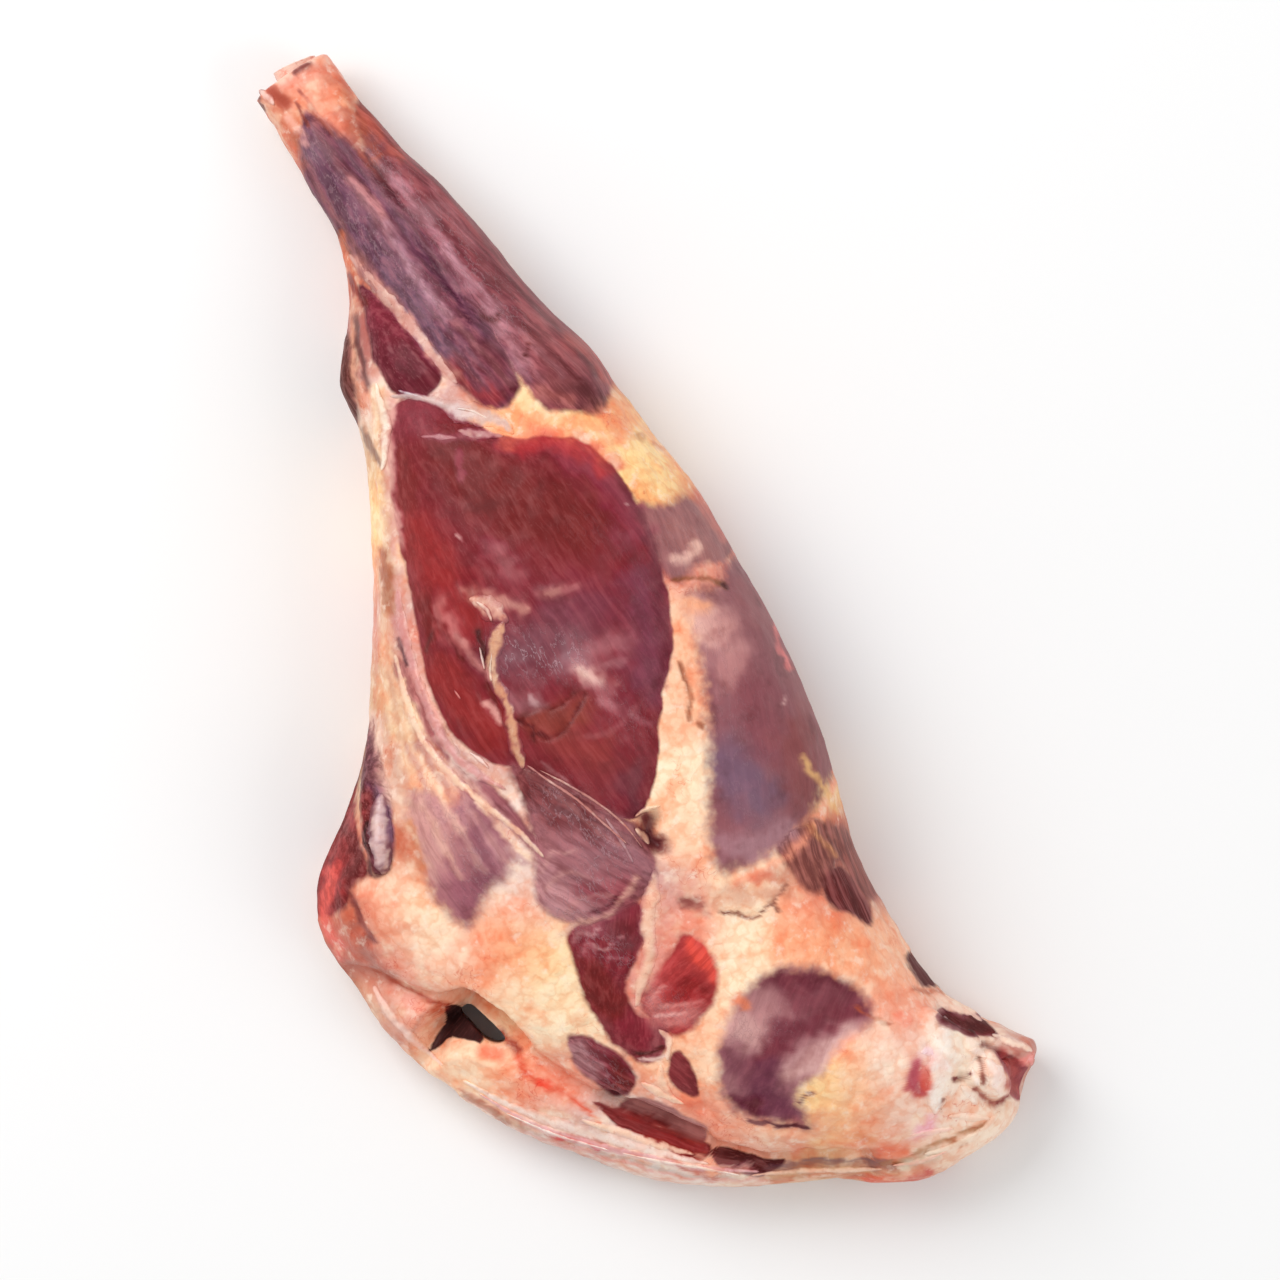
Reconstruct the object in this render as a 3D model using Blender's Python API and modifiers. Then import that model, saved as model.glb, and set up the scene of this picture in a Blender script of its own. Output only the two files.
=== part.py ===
"""A raw leg of mutton on the bone: shank, thigh, rump and flank, lying on its inner side, outer side up.

The leg is one solid of meat and fat, lofted through ribs that run across it from the hock cut to the tail.
Muscles swell out of that loft as pillows, and the seams, the flank crease and the gashes are grooves in it.
The shin bone shows in the hock cut and runs up the shank in its own bore.
The gristle tip of the hip bone sits in a pocket at the tail.
+Y runs up the leg to the hock, +Z is the outer side, and the flattened inner side rests on Z = 0.
"""
import math

import bmesh
import bpy
import numpy as np

MM = 0.001
# The leg's real length, and the length that the millimetres below are drawn for.
LEG_LENGTH = 540.0
DRAWN_LENGTH = 540.0
SCALE = MM * LEG_LENGTH / DRAWN_LENGTH

# Rings along the leg, points round a ring, and the triangles that are kept.
RINGS = 190
TOP_POINTS = 96
UNDER_POINTS = 48
FINE_POINTS = 240
MEAT_TRIANGLES = 9000

# The skin of fascia over the muscles, the height pressed flat by the weight, and the bone's clearance.
FASCIA = 0.7
PRESSED_FLAT = 0.5
BORE_GAP = 0.3

# Ribs across the leg, as (left x, left y, right x, right y) in drawn millimetres, from the hock to the tail.
RIBS = (
    (-9.5, 261.5, 24, 267),
    (-6, 240, 30, 240),
    (-4, 218, 36, 218),
    (-2, 195, 46, 195),
    (-7.5, 170, 54, 170),
    (-17, 152, 60, 147),
    (-25, 136, 66, 129),
    (-27, 113, 75, 108),
    (-33, 92, 80, 86),
    (-42, 68, 85, 64),
    (-52, 44, 91, 42),
    (-64, 20, 95, 18),
    (-79, -7, 97, -8),
    (-99, -30, 99, -35),
    (-120, -50, 99, -62),
    (-128, -73, 98, -85),
    (-124, -96, 95, -106),
    (-120, -120, 92, -128),
    (-111.5, -141, 92.5, -150),
    (-99, -162, 95.5, -176),
    (-84, -183, 100, -198),
    (-65, -202, 110, -215),
    (-45, -221, 121, -229),
    (-20, -236, 128, -238),
    (5, -246.5, 118, -249.5),
    (28, -254, 108, -261),
    (44, -263, 96, -266),
    (57, -268, 80, -268),
)

# Profiles along the leg, as (rib number, value) knots. Heights are drawn millimetres above the rest plane.
# A rib is a slab as thick as the flap at its edge, with a hump on it that leans to the right.
CROWN = ((0, 36), (2, 42), (4, 54), (6, 69), (8, 83), (11, 96), (14, 99), (17, 94), (20, 80), (23, 58),
         (25, 44), (27, 29))
SLAB = ((0, 27), (3, 30), (6, 36), (9, 44), (12, 42), (15, 34), (18, 29), (22, 27), (25, 27), (27, 24))
EDGE = ((0, 21), (3, 22), (6, 24), (10, 26), (14, 20), (18, 16), (22, 14), (27, 13))
BELLY = ((0, 7), (2, 4), (4, 0), (5, -4), (24, -4), (27, -1))
LEAN = ((0, 0), (6, 0.05), (12, 0.15), (18, 0.25), (22, 0.2), (27, 0))
SLAB_CORNER = ((0, 2.6), (6, 4), (12, 8), (16, 14), (20, 14), (24, 8), (27, 4))
UNDER_LEFT = ((0, 2.4), (4, 3.0), (6, 4.0), (10, 4.5), (14, 6), (20, 8), (24, 6), (27, 3))
UNDER_RIGHT = ((0, 2.4), (4, 3.0), (6, 3.6), (14, 3.6), (20, 4.5), (27, 3))
LEFT_SHOULDER = ((0, 2.1), (8, 2.0), (12, 1.7), (16, 1.6), (20, 1.5), (24, 1.7), (27, 2.0))
RIGHT_SHOULDER = ((0, 2.1), (8, 2.2), (14, 2.5), (18, 2.4), (22, 2.1), (27, 2.0))
LEFT_FALL = ((0, 0.5), (9, 0.52), (12, 0.68), (15, 0.95), (19, 1.1), (23, 0.8), (27, 0.6))
RIGHT_FALL = ((0, 0.5), (14, 0.5), (20, 0.6), (24, 0.7), (27, 0.6))
CUT_END = ((0.0, 1.6), (0.45, 1.6), (0.8, 1.4), (0.94, 0.8), (1.0, 0.0))
TAIL_END = ((0.0, 1.2), (0.5, 1.0), (0.85, 0.5), (1.0, 0.0))

# Muscles and fat that swell, as (swell, edge width, outline) in drawn millimetres, seen from above.
OUTER_THIGH = (5.0, 20, ((-11, 118), (2, 117), (14, 104), (28, 88), (46, 80), (60, 66), (67, 45), (66, 18),
                         (58, -12), (46, -42), (32, -68), (13, -78), (-4, -62), (-20, -40), (-33, -33),
                         (-43, -14), (-42, 12), (-35, 42), (-30, 66), (-22, 95)))
FRONT_THIGH = (4.0, 26, ((80, 32), (94, 28), (112, 0), (118, -40), (114, -92), (90, -112), (66, -119),
                         (44, -119), (32, -110), (40, -90), (52, -68), (62, -40), (69, -8)))
SHIN = (3.5, 11, ((30, 238), (42, 205), (54, 170), (64, 140), (78, 112), (80, 96), (70, 80), (58, 86),
                  (48, 92), (44, 108), (42, 135), (38, 160), (32, 190), (26, 215)))
CALF = (4.0, 10, ((3, 236), (12, 236), (20, 205), (28, 175), (36, 150), (41, 128), (40, 108), (32, 100),
                  (22, 110), (16, 128), (9, 150), (3, 172), (0, 200)))
DEEP_CALF = (3.0, 8, ((-1, 168), (7, 152), (14, 136), (17, 121), (6, 120), (-6, 124), (-9, 140), (-6, 155)))
HEEL_LUMP = (5.0, 7, ((-12, 157), (-22, 155), (-34, 142), (-34, 122), (-21, 119), (-14, 138)))
LOW_THIGH = (4.0, 10, ((-22, -40), (-8, -56), (3, -72), (14, -92), (12, -106), (-6, -112), (-26, -110),
                       (-37, -98), (-33, -80), (-26, -64), (-26, -50)))
HIP_STRIP = (2.5, 8, ((-33, -117), (-15, -113), (1, -117), (-2, -127), (-12, -137), (-14, -148), (-8, -157),
                      (-9, -168), (-20, -177), (-32, -170), (-36, -156), (-38, -138)))
FLANK_MUSCLE = (3.5, 14, ((-70, -34), (-54, -38), (-44, -36), (-38, -52), (-38, -72), (-46, -82),
                          (-60, -84), (-70, -90), (-77, -74), (-75, -54)))
ROUND_TIP = (6.0, 6, ((-70, 0), (-74, -16), (-76, -34), (-82, -52), (-88, -61), (-97, -56), (-96, -42),
                      (-89, -26), (-80, -8)))
FLANK_FAT = (4.5, 18, ((-104, -60), (-84, -64), (-70, -94), (-50, -86), (-38, -98), (-40, -125),
                       (-40, -150), (-52, -162), (-66, -152), (-76, -137), (-90, -119), (-104, -109),
                       (-113, -92), (-111, -72)))
RUMP_FAT = (4.0, 24, ((22, -128), (40, -140), (68, -138), (86, -165), (94, -195), (100, -215), (82, -246),
                      (50, -252), (20, -238), (0, -224), (-8, -200), (2, -175), (18, -158)))
TAIL_LUMP_UPPER = (3.5, 6, ((86, -202), (97, -207), (108, -219), (104, -230), (92, -228), (84, -214)))
TAIL_LUMP_LOWER = (4.0, 6, ((98, -232), (110, -230), (113, -242), (107, -251), (96, -248), (92, -238)))
TAIL_EDGE = (3.0, 5, ((98, -202), (112, -212), (124, -230), (132, -238), (118, -232), (114, -224),
                      (104, -212)))
SWELLS = (OUTER_THIGH, FRONT_THIGH, SHIN, CALF, DEEP_CALF, HEEL_LUMP, LOW_THIGH, HIP_STRIP, FLANK_MUSCLE,
          ROUND_TIP, FLANK_FAT, RUMP_FAT, TAIL_LUMP_UPPER, TAIL_LUMP_LOWER, TAIL_EDGE)

# The muscle that shows through a window in the rump fat lies lower than the fat round it.
RUMP_WINDOW = (-3.5, 12, ((28, -164), (42, -161), (56, -170), (69, -183), (66, -196), (52, -204),
                          (36, -208), (28, -225), (14, -221), (3, -210), (5, -192), (14, -178)))
HIDDEN_ROUND = (-4.0, 14, ((-70, 6), (-78, -18), (-90, -38), (-97, -58), (-108, -54), (-116, -68),
                           (-120, -88), (-140, -80), (-136, -50), (-110, -25), (-90, -5)))
HOLLOWS = (RUMP_WINDOW, HIDDEN_ROUND)

# Creases, seams and gashes of the upper side, as (depth, half width, path) in drawn millimetres.
FLANK_CREASE = (7.5, 5.0, ((-126, -92), (-112, -103), (-100, -115), (-90, -123), (-80, -136), (-72, -151),
                           (-63, -166), (-54, -180), (-46, -188), (-34, -199), (-22, -213), (-13, -224),
                           (0, -235), (20, -242), (42, -251)))
FLANK_TEAR = (9.0, 4.5, ((-104, -133), (-96, -130), (-88, -126), (-80, -134), (-75, -144)))
LONG_GASH = (11.0, 3.8, ((-47, -186), (-38, -196), (-28, -206), (-19, -216)))
SHORT_GASH = (8.0, 3.2, ((-13, -225), (-7, -229), (0, -234)))
THIGH_SEAM = (2.5, 3.0, ((-8, 36), (-13, 15), (-18, 0), (-20, -20), (-24, -40), (-31, -50)))
GLAND_PIT = (7.0, 4.0, ((19, -83), (15, -88), (17, -93)))
TAIL_GAP_UPPER = (6.0, 3.0, ((97, -208), (105, -216), (112, -226)))
TAIL_GAP_OUTER = (5.0, 3.0, ((115, -233), (119, -240), (115, -250)))
TAIL_GAP_LOWER = (3.5, 2.5, ((93, -235), (98, -246), (104, -254)))
SHANK_SEAM = (1.8, 2.5, ((11, 236), (19, 205), (26, 175), (33, 150)))
CREASES = (FLANK_CREASE, FLANK_TEAR, LONG_GASH, SHORT_GASH, THIGH_SEAM, GLAND_PIT, TAIL_GAP_UPPER,
           TAIL_GAP_OUTER, TAIL_GAP_LOWER, SHANK_SEAM)

# Seams between the muscles of the pressed inner side, as (depth, half width, path).
BACK_SEAM = (4.5, 6.0, ((6, 235), (8, 190), (2, 150), (-4, 110), (-8, 60), (-20, 10), (-40, -40), (-62, -100),
                        (-70, -150)))
MIDDLE_SEAM = (4.0, 6.0, ((20, 220), (30, 170), (42, 120), (52, 60), (50, 0), (34, -60), (24, -120),
                          (30, -180), (44, -240)))
FRONT_SEAM = (3.5, 5.0, ((72, 80), (70, 20), (66, -50), (70, -120), (84, -180), (96, -225)))
UNDER_SEAMS = (BACK_SEAM, MIDDLE_SEAM, FRONT_SEAM)

# The tear that goes right through the flank.
TEAR_REACH = 150.0
TEAR_OUTLINE = ((-89, -124), (-84, -123), (-79, -131), (-74, -143), (-77, -145), (-83, -139), (-86, -132))

# The shin bone, as (x, y, z, radius) in drawn millimetres, from the hock end to its head at the knee.
SHIN_BONE = ((10.0, 269.5, 21.5, 10.0), (10.6, 262.0, 21.8, 10.0), (13.0, 246.0, 23.0, 8.2),
             (18.0, 215.0, 25.0, 7.0), (25.0, 175.0, 28.0, 7.4), (31.0, 138.0, 33.0, 9.5),
             (34.0, 112.0, 37.0, 15.0), (35.0, 98.0, 38.0, 17.0))
BONE_SIDES = 3
MOUTH = 6.0

# The gristle tip of the hip bone, an egg that stands a little out of the rump fat.
HIP_TIP_CENTRE = (81.0, -229.0, 53.0)
HIP_TIP_RADII = (14.0, 19.0, 11.0)

MEAT_RED = (0.30, 0.045, 0.05, 1.0)
BONE_CREAM = (0.72, 0.42, 0.30, 1.0)
GRISTLE_WHITE = (0.82, 0.66, 0.60, 1.0)


def clear_scene():
    """Removes whatever the scene holds."""
    for old in list(bpy.data.objects):
        bpy.data.objects.remove(old, do_unlink=True)


def collection_named(name):
    """A new collection in the scene."""
    made = bpy.data.collections.new(name)
    bpy.context.scene.collection.children.link(made)
    return made


def material_named(name, colour, roughness):
    """A Principled material of one colour."""
    made = bpy.data.materials.new(name)
    made.use_nodes = True
    shader = made.node_tree.nodes["Principled BSDF"]
    shader.inputs["Base Color"].default_value = colour
    shader.inputs["Roughness"].default_value = roughness
    made.diffuse_color = colour
    return made


def smooth_through(knots, values, where):
    """A smooth curve through values at knots, read at where: cubic pieces with slopes from the neighbours."""
    knots = np.asarray(knots, float)
    values = np.asarray(values, float)
    slopes = np.gradient(values, knots, axis=0)
    piece = np.clip(np.searchsorted(knots, where, side="right") - 1, 0, len(knots) - 2)
    span = knots[piece + 1] - knots[piece]
    t = (where - knots[piece]) / span
    if values.ndim > 1:
        span, t = span[:, None], t[:, None]
    start = (1 + 2 * t) * (1 - t) ** 2 * values[piece] + t * (1 - t) ** 2 * span * slopes[piece]
    end = t * t * (3 - 2 * t) * values[piece + 1] + t * t * (t - 1) * span * slopes[piece + 1]
    return start + end


def profile(knots, where):
    """A profile given as (rib number, value) knots, read at rib numbers."""
    return smooth_through([k for k, _ in knots], [v for _, v in knots], where)


def rounded_path(points, closed, steps=6):
    """A smooth line through a few points, as many short segments."""
    points = np.asarray(points, float)
    if closed:
        points = np.concatenate([points[-2:], points, points[:3]])
    knots = np.arange(len(points))
    low, high = (2, len(points) - 3) if closed else (0, len(points) - 1)
    where = np.linspace(low, high, (high - low) * steps + 1)
    return smooth_through(knots, points, where)


def distance_to_path(x, y, path):
    """The distance of each point from the nearest segment of a path."""
    nearest = np.full(x.shape, 1e9)
    for a, b in zip(path[:-1], path[1:]):
        along = b - a
        t = np.clip(((x - a[0]) * along[0] + (y - a[1]) * along[1]) / max(along @ along, 1e-9), 0, 1)
        nearest = np.minimum(nearest, np.hypot(x - a[0] - t * along[0], y - a[1] - t * along[1]))
    return nearest


def inside_outline(x, y, path):
    """Whether each point lies in a closed path: a line from it crosses the path an odd number of times."""
    crossed = np.zeros(x.shape, bool)
    for a, b in zip(path[:-1], path[1:]):
        if a[1] == b[1]:
            continue
        level = (a[1] > y) != (b[1] > y)
        crossed ^= level & (x < (b[0] - a[0]) * (y - a[1]) / (b[1] - a[1]) + a[0])
    return crossed


def swell(x, y, height, edge, outline):
    """A pillow over an outline: it rises from the edge in a curve and is level beyond the edge's width."""
    path = rounded_path(outline, closed=True)
    depth = np.where(inside_outline(x, y, path), distance_to_path(x, y, path), 0.0)
    return height * (1 - (1 - np.clip(depth / edge, 0, 1)) ** 2)


def groove(x, y, depth, half_width, line):
    """A rounded groove along a line, which runs out at its ends."""
    away = distance_to_path(x, y, rounded_path(line, closed=False))
    return -depth * np.exp(-((away / half_width) ** 2))


def relief(x, y):
    """Height that muscles, fat and creases add to the upper side at plan points, in drawn millimetres."""
    total = np.zeros(x.shape)
    for height, edge, outline in SWELLS + HOLLOWS:
        total += swell(x, y, height, edge, outline)
    for depth, half_width, line in CREASES:
        total += groove(x, y, depth, half_width, line)
    return total


def under_relief(x, y):
    """Depth of the seams in the inner side at plan points, in drawn millimetres."""
    return sum(groove(x, y, depth, half_width, line) for depth, half_width, line in UNDER_SEAMS)


def even_spacing(points, count):
    """Each row of points, spread again at equal distances along that row."""
    steps = np.linalg.norm(np.diff(points, axis=1), axis=2)
    length = np.concatenate([np.zeros((len(points), 1)), np.cumsum(steps, axis=1)], axis=1)
    share = np.linspace(0, 1, count)
    rows = []
    for run, row in zip(length, points):
        rows.append([np.interp(share * run[-1], run, row[:, k]) for k in range(3)])
    return np.transpose(np.array(rows), (0, 2, 1))


def rings_of_leg(ring_count):
    """Rings round the leg from hock to tail: over the top from left to right, then back underneath."""
    rib = np.linspace(0, len(RIBS) - 1, ring_count)
    ends = smooth_through(np.arange(len(RIBS)), np.array(RIBS, float), rib)[:, None, :]
    crown, slab, edge, belly = (profile(knots, rib)[:, None] for knots in (CROWN, SLAB, EDGE, BELLY))
    lean, over = (profile(knots, rib)[:, None] for knots in (LEAN, SLAB_CORNER))
    under_left, under_right = (profile(knots, rib)[:, None] for knots in (UNDER_LEFT, UNDER_RIGHT))
    left, right = (profile(knots, rib)[:, None] for knots in (LEFT_SHOULDER, RIGHT_SHOULDER))
    left_fall, right_fall = (profile(knots, rib)[:, None] for knots in (LEFT_FALL, RIGHT_FALL))
    across = -np.cos(np.linspace(0, math.pi, FINE_POINTS))[None, :]
    on_right = across > lean
    from_crown = np.where(on_right, (across - lean) / (1 - lean), (lean - across) / (1 + lean))
    shoulder, fall = np.where(on_right, right, left), np.where(on_right, right_fall, left_fall)
    hump = np.clip(1 - np.abs(from_crown) ** shoulder, 0, 1) ** fall
    top = edge + (slab - edge) * np.sqrt(np.clip(1 - np.abs(across) ** over, 0, 1)) + (crown - slab) * hump
    under = np.where(across > 0, under_right, under_left)
    bottom = edge - (edge - belly) * np.sqrt(np.clip(1 - np.abs(across) ** under, 0, 1))
    bottom = np.maximum(bottom, 0.0)
    share = (across + 1) / 2
    x = ends[..., 0] * (1 - share) + ends[..., 2] * share
    y = ends[..., 1] * (1 - share) + ends[..., 3] * share
    upper = even_spacing(np.stack([x, y, top], axis=2), TOP_POINTS)
    lower = even_spacing(np.stack([x, y, bottom], axis=2)[:, ::-1], UNDER_POINTS)
    return np.concatenate([upper[:, :-1], lower[:, :-1]], axis=1)


def end_rings(ring, knots, direction):
    """Rings that close an end: the last ring drawn in to its middle, and pushed out along the leg."""
    middle = ring.mean(axis=0)
    out = np.array([0.0, direction, 0.0])
    return [middle + (ring - middle) * size + out * push for size, push in knots[:-1]]


def outward(rings):
    """Unit normals of a grid of rings, pointing out of the leg."""
    along = np.gradient(rings, axis=0)
    around = (np.roll(rings, -1, axis=1) - np.roll(rings, 1, axis=1)) / 2
    normal = np.cross(along, around)
    return normal / np.maximum(np.linalg.norm(normal, axis=2, keepdims=True), 1e-9)


def shaped_rings():
    """The leg's rings with the muscles, seams and creases moved along the surface's own normals."""
    rings = rings_of_leg(RINGS)
    normal = outward(rings)
    up = normal[..., 2]
    x, y = rings[..., 0], rings[..., 1]
    upper = relief(x, y) * np.clip(up * 1.6 + 0.15, 0, 1)
    lower = under_relief(x, y) * np.clip(-up * 1.5, 0, 1)
    rings = rings + normal * (FASCIA + upper + lower)[..., None]
    rings[..., 2] = np.maximum(rings[..., 2], 0.0)
    hock = end_rings(rings[0], CUT_END, 1.0)
    tail = end_rings(rings[-1], TAIL_END, -1.0)
    return np.concatenate([np.array(hock), rings, np.array(tail[::-1])])


def mesh_from_rings(name, rings):
    """A closed mesh from rings, whose first and last ring have shrunk to a point."""
    count, around = rings.shape[:2]
    grid = np.arange((count - 2) * around).reshape(count - 2, around) + 1
    last = (count - 2) * around + 1
    points = np.concatenate([rings[:1, 0], rings[1:-1].reshape(-1, 3), rings[-1:, 0]]) * SCALE
    here, there = grid[:-1], grid[1:]
    quads = np.stack([here, there, np.roll(there, -1, 1), np.roll(here, -1, 1)], axis=2).reshape(-1, 4)
    first_fan = [(0, int(a), int(b)) for a, b in zip(grid[0], np.roll(grid[0], -1))]
    last_fan = [(last, int(b), int(a)) for a, b in zip(grid[-1], np.roll(grid[-1], -1))]
    mesh = bpy.data.meshes.new(name)
    mesh.from_pydata(points.tolist(), [], quads.tolist() + first_fan + last_fan)
    mesh.update()
    return mesh


def face_outwards(mesh):
    """Turns every face of a closed mesh outwards."""
    work = bmesh.new()
    work.from_mesh(mesh)
    bmesh.ops.recalc_face_normals(work, faces=work.faces)
    work.to_mesh(mesh)
    work.free()


def apply_modifiers(piece):
    """Makes an object's modifiers part of its mesh."""
    graph = bpy.context.evaluated_depsgraph_get()
    mesh = bpy.data.meshes.new_from_object(piece.evaluated_get(graph))
    piece.modifiers.clear()
    piece.data = mesh


def make_meat(home, finish):
    """The leg's meat and fat: the shaped loft, thinned to the number of triangles that its form needs."""
    mesh = mesh_from_rings("leg_meat", shaped_rings())
    face_outwards(mesh)
    meat = bpy.data.objects.new("leg_meat", mesh)
    meat.data.materials.append(finish)
    home.objects.link(meat)
    triangles = sum(len(face.vertices) - 2 for face in mesh.polygons)
    thin = meat.modifiers.new("fewer faces", "DECIMATE")
    thin.ratio = MEAT_TRIANGLES / triangles
    thin.use_collapse_triangulate = True
    bpy.context.view_layer.update()
    apply_modifiers(meat)
    for vertex in meat.data.vertices:
        if vertex.co.z < PRESSED_FLAT * SCALE:
            vertex.co.z = 0.0
    return meat


def bone_mesh(name, stations):
    """A round bar through stations of (x, y, z, radius): a curve, welded into one closed mesh."""
    curve = bpy.data.curves.new(name, "CURVE")
    curve.dimensions = "3D"
    curve.bevel_depth = SCALE
    curve.bevel_resolution = BONE_SIDES
    curve.use_fill_caps = True
    knots = np.arange(len(stations))
    line = smooth_through(knots, np.array(stations, float), np.linspace(0, knots[-1], 4 * len(stations)))
    spline = curve.splines.new("POLY")
    spline.points.add(len(line) - 1)
    for point, (x, y, z, radius) in zip(spline.points, line):
        point.co = (x * SCALE, y * SCALE, z * SCALE, 1.0)
        point.radius = radius
    holder = bpy.data.objects.new(name, curve)
    bpy.context.scene.collection.objects.link(holder)
    bpy.context.view_layer.update()
    mesh = bpy.data.meshes.new_from_object(holder.evaluated_get(bpy.context.evaluated_depsgraph_get()))
    bpy.data.objects.remove(holder)
    work = bmesh.new()
    work.from_mesh(mesh)
    bmesh.ops.remove_doubles(work, verts=work.verts, dist=0.00001)
    bmesh.ops.recalc_face_normals(work, faces=work.faces)
    work.to_mesh(mesh)
    work.free()
    return mesh


def add_object(name, mesh, home, finish=None):
    """An object for a mesh in its collection."""
    made = bpy.data.objects.new(name, mesh)
    if finish is not None:
        made.data.materials.clear()
        made.data.materials.append(finish)
    home.objects.link(made)
    return made


def make_shin_bone(home, finish):
    """The shin bone, from its end in the hock cut to its head at the knee, with a softened rim."""
    bone = add_object("shin_bone", bone_mesh("shin_bone", SHIN_BONE), home, finish)
    rim = bone.modifiers.new("soft rim", "BEVEL")
    rim.width = 1.6 * SCALE
    rim.segments = 2
    rim.limit_method = "ANGLE"
    rim.angle_limit = math.radians(50)
    return bone


def make_bone_bore(home):
    """A cutter a little wider than the shin bone, which runs out through the hock cut."""
    hock = SHIN_BONE[0]
    mouth = (hock[0], hock[1] + MOUTH, hock[2], hock[3])
    head = SHIN_BONE[-1]
    beyond = (head[0], head[1] - BORE_GAP, head[2], head[3])
    wider = [(x, y, z, radius + BORE_GAP) for x, y, z, radius in (mouth,) + SHIN_BONE[:-1] + (beyond,)]
    return add_object("bone_bore", bone_mesh("bone_bore", wider), home)


def ball(name, centre, radii, home, finish=None):
    """A ball with three radii."""
    mesh = bpy.data.meshes.new(name)
    work = bmesh.new()
    bmesh.ops.create_uvsphere(work, u_segments=28, v_segments=16, radius=1.0)
    bmesh.ops.scale(work, vec=[r * SCALE for r in radii], verts=work.verts)
    work.to_mesh(mesh)
    work.free()
    made = add_object(name, mesh, home, finish)
    made.location = [c * SCALE for c in centre]
    made.rotation_euler = (0.0, 0.12, -0.35)
    return made


def make_tear(home):
    """A cutter for the place where the flank is torn right through."""
    curve = bpy.data.curves.new("flank_tear", "CURVE")
    curve.dimensions = "2D"
    curve.fill_mode = "BOTH"
    curve.extrude = TEAR_REACH * SCALE
    line = rounded_path(TEAR_OUTLINE, closed=True, steps=3)[:-1]
    spline = curve.splines.new("POLY")
    spline.points.add(len(line) - 1)
    for point, (x, y) in zip(spline.points, line):
        point.co = (x * SCALE, y * SCALE, 0.0, 1.0)
    spline.use_cyclic_u = True
    holder = bpy.data.objects.new("flank_tear_line", curve)
    bpy.context.scene.collection.objects.link(holder)
    bpy.context.view_layer.update()
    mesh = bpy.data.meshes.new_from_object(holder.evaluated_get(bpy.context.evaluated_depsgraph_get()))
    bpy.data.objects.remove(holder)
    work = bmesh.new()
    work.from_mesh(mesh)
    bmesh.ops.remove_doubles(work, verts=work.verts, dist=0.00001)
    bmesh.ops.recalc_face_normals(work, faces=work.faces)
    work.to_mesh(mesh)
    work.free()
    return add_object("flank_tear", mesh, home)


def cut(piece, cutter):
    """Takes a cutter's space out of a piece."""
    cutter.hide_render = True
    cutter.display_type = "WIRE"
    taken = piece.modifiers.new("cut " + cutter.name, "BOOLEAN")
    taken.operation = "DIFFERENCE"
    taken.solver = "EXACT"
    taken.object = cutter


def main():
    clear_scene()
    leg = collection_named("leg_of_mutton")
    cutters = collection_named("cutters")
    meat = make_meat(leg, material_named("raw mutton", MEAT_RED, 0.45))
    make_shin_bone(leg, material_named("bone end", BONE_CREAM, 0.5))
    ball("hip_tip", HIP_TIP_CENTRE, HIP_TIP_RADII, leg, material_named("gristle", GRISTLE_WHITE, 0.35))
    pocket = ball("hip_pocket", HIP_TIP_CENTRE, [r + BORE_GAP for r in HIP_TIP_RADII], cutters)
    for cutter in (make_bone_bore(cutters), pocket, make_tear(cutters)):
        cut(meat, cutter)
    for piece in leg.objects:
        piece.data.shade_smooth()


main()
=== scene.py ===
import math

import bmesh
import bpy
import numpy as np
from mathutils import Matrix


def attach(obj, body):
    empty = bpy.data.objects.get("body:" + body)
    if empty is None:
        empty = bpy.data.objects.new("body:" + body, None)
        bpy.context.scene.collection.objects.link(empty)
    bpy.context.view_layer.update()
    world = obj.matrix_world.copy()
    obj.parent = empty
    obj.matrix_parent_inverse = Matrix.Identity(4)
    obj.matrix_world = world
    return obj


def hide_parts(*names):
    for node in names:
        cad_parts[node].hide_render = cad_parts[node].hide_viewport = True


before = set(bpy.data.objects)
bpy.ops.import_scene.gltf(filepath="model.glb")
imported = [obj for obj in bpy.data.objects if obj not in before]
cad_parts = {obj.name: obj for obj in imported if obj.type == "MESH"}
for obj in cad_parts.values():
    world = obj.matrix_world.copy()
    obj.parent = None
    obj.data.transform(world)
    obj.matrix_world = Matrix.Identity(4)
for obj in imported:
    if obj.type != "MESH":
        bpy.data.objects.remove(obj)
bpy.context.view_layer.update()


# The body of the leg: meat and fat from the hock cut to the tail, one grown piece on the bone.
# It lies pressed on its inner side. Ribs across the leg carry a slab as thick as the flank flap,
# with the round of the thigh as a hump on it that leans to the right.
MM = 0.001
# The two ends of each rib in plan, from the hock to the tail, as (left x, left y, right x, right y) in mm.
RIBS = (
    (-9.5, 261.5, 24, 267), (-6, 240, 30, 240), (-4, 218, 36, 218), (-2, 195, 46, 195), (-7.5, 170, 54, 170),
    (-17, 152, 60, 147), (-25, 136, 66, 129), (-27, 113, 75, 108), (-33, 92, 80, 86), (-42, 68, 85, 64),
    (-52, 44, 91, 42), (-64, 20, 95, 18), (-79, -7, 97, -8), (-99, -30, 99, -35), (-120, -50, 99, -62),
    (-128, -73, 98, -85), (-124, -96, 95, -106), (-120, -120, 92, -128), (-111.5, -141, 92.5, -150),
    (-99, -162, 95.5, -176), (-84, -183, 100, -198), (-65, -202, 110, -215), (-45, -221, 121, -229),
    (-20, -236, 128, -238), (5, -246.5, 118, -249.5), (28, -254, 108, -261), (44, -263, 96, -266),
    (57, -268, 80, -268))
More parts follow.
